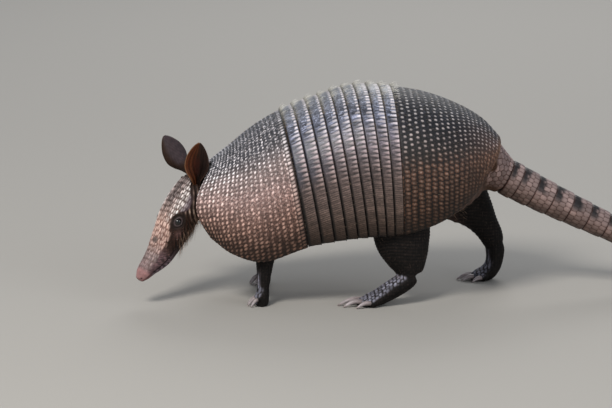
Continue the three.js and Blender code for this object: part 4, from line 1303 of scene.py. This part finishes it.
def dress_head(points, head, dark, lid):
    """Relief, colour and gloss of the head: plates above, folds behind, dark cheeks, mauve jaw, pink nose."""
    along, angle, _ = head_place(points)
    degrees, z = np.abs(np.degrees(angle)), points[:, 2]
    plate, own = head_plates(along, angle)
    reach, crown_reach = table_at(along, PLATE_REACH), crown_angle(along)
    scaly = head * ramp(reach + 7, reach - 6, degrees + 12 * (own - 0.5))
    scaly = scaly * between(-8, 0, 94, 101, along)
    under = head * ramp(crown_reach + 1, crown_reach - 3, degrees) * between(-9, -5, 69, 73, along)
    strip = head * ramp(34, 24, along) * ramp(crown_reach, crown_reach + 8, degrees)
    jaw = head * ramp(100, 112, degrees) * ramp(44, 60, along)
    mouth = head * bump(degrees, MOUTH, 4) * between(56, 64, 98, 103, along)
    wrinkle = head * wave(along * 0.8 + degrees * 0.12 + 1.2 * np.sin(degrees / 6 + along / 4), 3.2)
    wrinkle = wrinkle * between(62, 72, 92, 98, along)
    wrinkle = wrinkle * between(56, 78, 128, 150, degrees)
    cheek_fold = head * wave(along - 0.16 * degrees + 1.5 * np.sin(degrees / 9), 5.2)
    cheek_fold = cheek_fold * ramp(78, 92, degrees) * between(24, 36, 54, 66, along)
    nose = head * ramp(93, 98, along)
    own_place = to_head(points)
    own_place[:, 1] = np.abs(own_place[:, 1])
    nostril = ramp(1.9, 0.5, np.linalg.norm(own_place - NOSTRIL, axis=1))
    height = scaly * (0.05 + 0.32 * plate) - 1.35 * under + 0.45 * strip * neck_streak(points) - 0.9 * mouth
    height += 0.15 * wrinkle + 0.3 * cheek_fold - 1.5 * nostril

    cheek = blend((42, 25, 18), (66, 46, 38), ramp(70, 150, degrees))
    cheek = blend(cheek, (98, 76, 78), ramp(60, 76, along))
    cheek = lit(cheek, 1 + 0.45 * cheek_fold + 0.22 * wrinkle + 0.2 * (own - 0.5) * plate)
    lilac = head * ramp(32, 22, along) * ramp(crown_reach + 9, crown_reach + 3, degrees) * (1 - under)
    throat = blend((50, 38, 36), (98, 82, 88), ramp(56, 76, along))
    snout = lit(plate_tint(along, angle, plate, own), 1 + 0.16 * wrinkle)
    pink = blend((112, 78, 76), (168, 126, 124), ramp(128, 92, degrees))
    pouch = head * np.exp(-(((along - 48) / 5.5) ** 2) - ((degrees - 80) / 13) ** 2)
    tint = painted(
        cheek,
        (neck_tint(points), strip * 0.95),
        ((112, 96, 108), lilac * ramp(112, 100, z) * 0.7),
        (lit(throat, 1 + 0.4 * wrinkle), jaw * 0.9),
        (snout, scaly),
        (pink, nose),
        ((34, 20, 20), np.maximum(nostril, 0.9 * mouth)),
        ((28, 19, 15), dark * 0.95),
        (lit((118, 88, 84), 1 + 0.4 * cheek_fold), 0.75 * pouch),
        ((124, 111, 116), lid * 0.55),
    )
    return height, tint, 0.25 + 0.3 * scaly * plate + 0.25 * nose + 0.4 * lid


def dress_tail_root(points):
    """Scutes round the tail's root, like those of its rings, and a plain margin next to the hip shield."""
    s, angle, radius = tail_place(points)
    cover = on_tail_root(points)
    tree = nearest(shell_point(3.0, np.linspace(-1, 1, 61)))
    margin = np.zeros(len(points))
    chosen = np.flatnonzero(cover > 0)
    margin[chosen] = [tree.find(points[index])[2] for index in chosen]
    scaly = cover * ramp(5, 7.5, margin)
    row, count, pitch = s / SCUTE_PITCH, angle * ROOT_AROUND / TURN, TURN * radius / ROOT_AROUND
    cell, crown, own = tail_scutes(row, count, SCUTE_PITCH, pitch, 71, jitter=0.14, soft=(0.1, 1.0))
    return scaly, scaly * (0.34 * cell + 0.16 * crown - 0.1), tail_tint(angle, crown * cell, cell, own)


def dress_skin(mesh):
    """Relief and colour of head, neck, belly, tail root and limbs."""
    points = positions(mesh)
    head = on_head(points)
    loose = (1 - head) * lerp(0.15, 1, ramp(12, 28, points[:, 2]))
    points = relax(mesh, grounded(relax(mesh, points, loose, times=22)), head, times=3)
    points, dark, lid = carve_eyes(points)
    points = clear_ears(points)
    place_points(mesh, points)
    mesh.update()
    normal = normals(mesh)

    x, y, z = points.T
    head_height, head_tint, head_gloss = dress_head(points, head, dark, lid)
    root, root_height, root_tint = dress_tail_root(points)
    neck = (1 - head) * ramp(262, 236, x) * ramp(58, 84, z)
    limbs = np.max([limb_cover(points, leg) for leg, _, _ in LIMBS.values()], axis=0)
    limbs = np.maximum(limbs * (1 - head), (1 - head) * ramp(34, 26, z))
    cell, own = cells(points, np.flatnonzero(limbs > 0.3), spacing=2.9)
    thigh = limbs * ramp(36, 50, z)
    lines = wave(z + 0.8 * np.sin(x / 7) + 0.3 * y, 3.3)
    belly = (1 - limbs) * (1 - head) * (1 - neck) * (1 - root)
    height = head_height + root_height + 0.5 * neck * neck_streak(points)
    height += limbs * (0.42 * cell - 0.2) * (1 - 0.6 * thigh) + 0.22 * thigh * lines
    height += 0.3 * belly * wave(x, 8.5)
    points = grounded(points + lit(normal, height))
    place_points(mesh, points)
    mesh.update()

    # the limbs' own dark skin, darkened further by painted shade
    hide = blend((10, 7, 6), (36, 28, 25), cell * (0.3 + 0.7 * own))
    hide = lit(hide, 1 + 0.5 * thigh * lines)
    # pale bluish scales where the skin faces up and forwards: the feet's own pale scales, brightened by
    # painted highlight
    top = ramp(0.15, 0.6, normal @ (-0.6, 0, 0.8)) * ramp(42, 30, z)
    x_off, y_off, _, scale_own = quincunx(x / 3.6, y / 3.1, 3.6, 3.1, seed=91, jitter=0.2)
    scale = ramp(1.3, 0.75, rounded(x_off, y_off, 1.5, 1.3, 2.4))
    hide = blend(hide, lit((150, 149, 164), 0.7 + 0.4 * scale_own), 0.92 * scale * top)
    tint = painted(
        lit((84, 63, 54), 1 + 0.12 * wave(x, 8.5)),
        ((76, 54, 41), ramp(476, 490, x)),
        (root_tint * 1.12, root),
        (neck_tint(points), neck),
        (head_tint, head),
        (hide, limbs),
    )
    gloss = lerp(0.2 + 0.15 * limbs * cell + 0.25 * root, head_gloss, head)
    colour_points(mesh, tint, np.clip(gloss, 0, 1))


skin_mesh = base_skin()
dress_skin(skin_mesh)
skin_mesh.shade_smooth()
flesh = ["trunk", "neck", "head"] + [f"{part}_{name}" for part in ("leg", "foot") for name in LIMBS]
add_piece("skin", skin_mesh, SKIN, flesh)

# ---- claws

CLAW_RINGS, CLAW_SIDES = 26, 20
CLAW_STOPS = [(0, 96, 84, 82), (0.35, 150, 138, 138), (0.8, 176, 166, 168), (1, 140, 126, 122)]


def add_claws(name, radius):
    """The claws of one foot, as one piece."""
    lofts = []
    for root, tip, claw in toes_of(name):
        start = lerp(tip, root, 0.35)
        middle = lerp(start, claw, 0.5) + (0, 0, 0.13 * np.linalg.norm(claw - start))
        rows = thick_rows((start, middle, claw), (radius * 0.6, radius * 0.5, radius * 0.17))
        lofts.append(grounded(limb_rings(rows, CLAW_RINGS, CLAW_SIDES, round_end=0.12)))
    mesh = new_mesh(f"claws_{name}", *join_lofts(lofts))
    along = np.append(np.repeat(np.linspace(0, 1, CLAW_RINGS), CLAW_SIDES), [0, 1])
    tint = shades(CLAW_STOPS, np.tile(along, len(lofts)))
    streak = 0.9 + 0.2 * scatter(np.arange(len(tint)) % CLAW_SIDES, 4)
    colour_points(mesh, lit(tint, streak), 0.6)
    nodes = [f"claw_{name}_{k + 1}" for k in range(len(lofts))]
    add_piece(f"claws_{name}", mesh, CLAW_HORN, nodes)


for limb_name, limb in LIMBS.items():
    add_claws(limb_name, limb[2])

# ---- hair

STRAND_RINGS = np.array([0, 0.3, 0.6, 0.85])
STRAND_SIDES = 3
PATCH = 0.003  # size of a strand's place in the UV map
COAT_START, COAT_SPAN = 110, 710  # the x from which the UV map counts, and the length that it covers
# x, height of the body's middle there
BODY_MIDDLE = [(190, 100), (260, 110), (400, 130), (500, 130)]


def strands(name, roots, normal, lie, length, width, lift, tint, island, key):
    """Tapered three-sided hairs that leave the skin at a lift and bend to their lie.

    island is this coat's part of the UV map's height: rows by angle about the body, columns by x."""
    count, rows = len(roots), len(STRAND_RINGS)
    n = np.arange(count)
    lie = unit(lie - normal * (lie * normal).sum(1)[:, None])
    side = np.cross(lie, normal)
    turn = 0.5 * (scatter(n, key, 1) - 0.5)[:, None]
    lie = unit(lie + side * turn)
    length = (length * (0.55 + 0.9 * scatter(n, key, 2)))[:, None, None]
    rise = (lift * (0.5 + scatter(n, key, 3)))[:, None]
    start = unit(lie * np.cos(rise) + normal * np.sin(rise))
    t = np.append(STRAND_RINGS, 1.0)[None, :, None]
    bend = 0.45 * (lie - start)[:, None] * t**2 + 0.12 * side[:, None] * turn[:, None] * t**2
    middle = roots[:, None] + length * (start[:, None] * t + bend) - (0, 0, 0.12) * length * t**2
    angle = TURN * np.arange(STRAND_SIDES) / STRAND_SIDES
    across = unit(np.cross(start, normal))
    up = unit(np.cross(across, start))
    ring = lit(across[:, None], np.cos(angle)) + lit(up[:, None], np.sin(angle))
    size = width * (1 - STRAND_RINGS) ** 0.7
    body = middle[:, :-1, None] + ring[:, None] * size[None, :, None, None]
    points = grounded(np.concatenate([body.reshape(count, -1, 3), middle[:, -1:]], axis=1), 0.1)
    over = numbered(rows, STRAND_SIDES)
    tips = np.stack([over[-1], np.roll(over[-1], -1), np.full(STRAND_SIDES, over.size)], -1)
    first = (n * points.shape[1])[:, None, None]
    blocks = (ring_quads(over), tips, over[:1, ::-1])
    faces = [(block + first).reshape(-1, block.shape[1]) for block in blocks]

    turned = np.arctan2(roots[:, 1], roots[:, 2] - table_at(roots[:, 0], BODY_MIDDLE)) / TURN + 0.5
    place = np.stack([lerp(0.01, 0.98, (roots[:, 0] - COAT_START) / COAT_SPAN), lerp(*island, turned)], -1)
    corner = np.stack([np.tile([0, 0.5, 1], rows), np.repeat(STRAND_RINGS, STRAND_SIDES)], -1)
    corner = np.concatenate([corner, [(0.5, 1)]])
    spot = (place[:, None] + corner * PATCH).reshape(-1, 2)
    mesh = new_mesh(name, points.reshape(-1, 3), faces, [spot[block] for block in faces])
    shade = lit(tint, 0.8 + 0.4 * scatter(n, key, 4))
    colour_points(mesh, lit(shade[:, None], lerp(0.75, 1.1, corner[:, 1])), 0.4)
    add_piece(name, mesh, HAIR)


def spread(count, key, low=-1.0, high=1.0):
    """Numbers spread at random over a range."""
    return lerp(low, high, scatter(np.arange(count), key, 9))


def shell_lie(u, side):
    """Root, normal and backward direction on the shell."""
    root, step = shell_point(u, side), 1e-3
    back = unit(shell_point(u + step, side) - root)
    normal = unit(np.cross(back, shell_point(u, side + step) - root))
    return root, normal, back


PER_BAND, ON_SHOULDER, ON_HIP = 300, 500, 900  # hairs on the shell


def add_back_hair():
    """Pale hairs from the bands' rear edges, longest on the back, and short ones on the shields."""
    u = np.repeat(1 + np.arange(BAND_COUNT + 1) / BAND_COUNT, PER_BAND) - 0.004
    side = spread(len(u), 101) * np.abs(spread(len(u), 102)) ** 0.6
    root, normal, back = shell_lie(u, side)
    top = ramp(0.32, 0.08, np.abs(side))
    tint = blend((128, 110, 92), (226, 222, 212), top)
    length, lift = lerp(2.2, 9.0, top), lerp(0.25, 0.75, top)
    strands("hair_bands", root + normal * 0.4, normal, back, length, 0.12, lift, tint, (0.01, 0.3), 111)
    u = np.concatenate([spread(ON_SHOULDER, 103, 0.25, 0.97), spread(ON_HIP, 104, 2.05, 2.97)])
    side = np.concatenate([spread(ON_SHOULDER, 105, -0.55, 0.55), spread(ON_HIP, 106, -0.8, 0.8)])
    short = {"length": 2.6, "width": 0.09, "lift": 0.35, "tint": (138, 122, 104), "island": (0.31, 0.5)}
    strands("hair_shields", *shell_lie(u, side), **short, key=112)


# x, height of the shell's lower edge there
SHELL_EDGE = [(208, 67), (303, 61), (396, 73), (489, 132)]


def add_skin_hair(mesh):
    """Hair of throat and cheeks, belly and legs, rooted on the skin's own points."""
    points, normal = positions(mesh), normals(mesh)
    along, angle, _ = head_place(points)
    degrees, head = np.abs(np.degrees(angle)), on_head(points) > 0.5
    x, y, z = points.T
    width, low_edge = np.abs(y), table_at(x, SHELL_EDGE)
    inside = (width < 60) & (z > 42) & (z < low_edge - 1) & (x > 235) & (x < 470)
    legs = (z > 26) & (z < low_edge - 8) & (normal[:, 2] < 0.4) & (width > 28)
    throat = head & (along > 0) & (along < 54) & (degrees > 84)
    face = head & (along > 40) & (along < 96) & (degrees > 60)
    down, belly = (0.12, 0, -1.0), inside & ~legs & ~head
    # name, where, how many, length, width, lift, colour, way they lie, strip of the UV map
    coats = [
        ("hair_throat", throat, 1000, 10.0, 0.12, 0.4, (108, 88, 75), down, (0.51, 0.6)),
        ("hair_face", face, 260, 1.6, 0.06, 0.4, (150, 134, 124), (0.9, 0, 0.6), (0.61, 0.68)),
        ("hair_belly", belly, 900, 5.0, 0.1, 0.35, (120, 100, 84), (1, 0, -0.5), (0.69, 0.82)),
        ("hair_legs", legs & ~head, 900, 3.2, 0.09, 0.3, (64, 52, 46), down, (0.83, 0.97)),
    ]
    for key, (name, chosen, count, length, width, lift, colour, lie, island) in enumerate(coats):
        found = np.flatnonzero(chosen)
        found = found[np.argsort(scatter(found, key + 121), kind="stable")[:count]]
        own = scatter(np.arange(len(found)), key, 5)[:, None]
        tint = lerp(vector(*colour), vector(*colour) * 1.8, own > 0.66)
        out = normal[found]
        lie = np.broadcast_to(lie, out.shape)
        strands(name, points[found] - out * 0.2, out, lie, length, width, lift, tint, island, key + 131)


add_back_hair()
add_skin_hair(skin_mesh)

# ---- camera, floor, light

CAMERA_AZIMUTH, CAMERA_ELEVATION, CAMERA_DISTANCE = math.radians(-5), math.radians(12), 3.5
CAMERA_AIM = Vector((0.306 + SHIFT * MM, 0, 0.092))
LIGHT_AIM = Vector((0, 0, 0.1))
FLOOR_HALF = 15


def aimed(name, data, place, look):
    """A camera or light at a place that looks along a direction."""
    made = add_object(name, data)
    made.location = place
    made.rotation_mode = "QUATERNION"
    made.rotation_quaternion = look.to_track_quat("-Z", "Y")
    return made


def add_camera():
    """A long lens from the animal's left, a little above it and a little ahead, as in the photograph."""
    level, up = math.cos(CAMERA_ELEVATION), math.sin(CAMERA_ELEVATION)
    back = Vector((math.sin(CAMERA_AZIMUTH) * level, -math.cos(CAMERA_AZIMUTH) * level, up))
    data = bpy.data.cameras.new("camera")
    data.lens, data.sensor_width = 206, 36
    data.clip_start, data.clip_end = 0.1, 100
    bpy.context.scene.camera = aimed("camera", data, CAMERA_AIM + back * CAMERA_DISTANCE, -back)


def add_floor():
    mesh = bpy.data.meshes.new("floor")
    corners = [(x * FLOOR_HALF, y * FLOOR_HALF, 0) for x, y in ((-1, -1), (1, -1), (1, 1), (-1, 1))]
    mesh.from_pydata(corners, [], [(0, 1, 2, 3)])
    mesh.materials.append(new_material("floor", Base_Color=(0.4, 0.38, 0.35, 1), Roughness=0.9)[0])
    floor = add_object("floor", mesh)


def add_light(name, place, size, power, colour=(1, 1, 1)):
    """A square soft light that looks at the animal's middle."""
    data = bpy.data.lights.new(name, "AREA")
    data.size, data.energy, data.color = size, power, colour
    aimed(name, data, place, LIGHT_AIM - Vector(place))


def add_world():
    world = bpy.data.worlds.new("world")
    bpy.context.scene.world = world
    world.use_nodes = True
    feed(world.node_tree.nodes["Background"], Color=(0.78, 0.84, 0.92, 1), Strength=0.42)


add_camera()
add_floor()
add_world()
add_light("key", (-1.3, -1.7, 2.2), size=0.8, power=62, colour=(1, 0.97, 0.92))
add_light("fill", (1.8, -1.6, 1.2), size=1.6, power=14, colour=(0.92, 0.96, 1))
add_light("back", (0.4, 2.2, 1.8), size=1.4, power=22)
bpy.context.scene.view_settings.view_transform = "Standard"
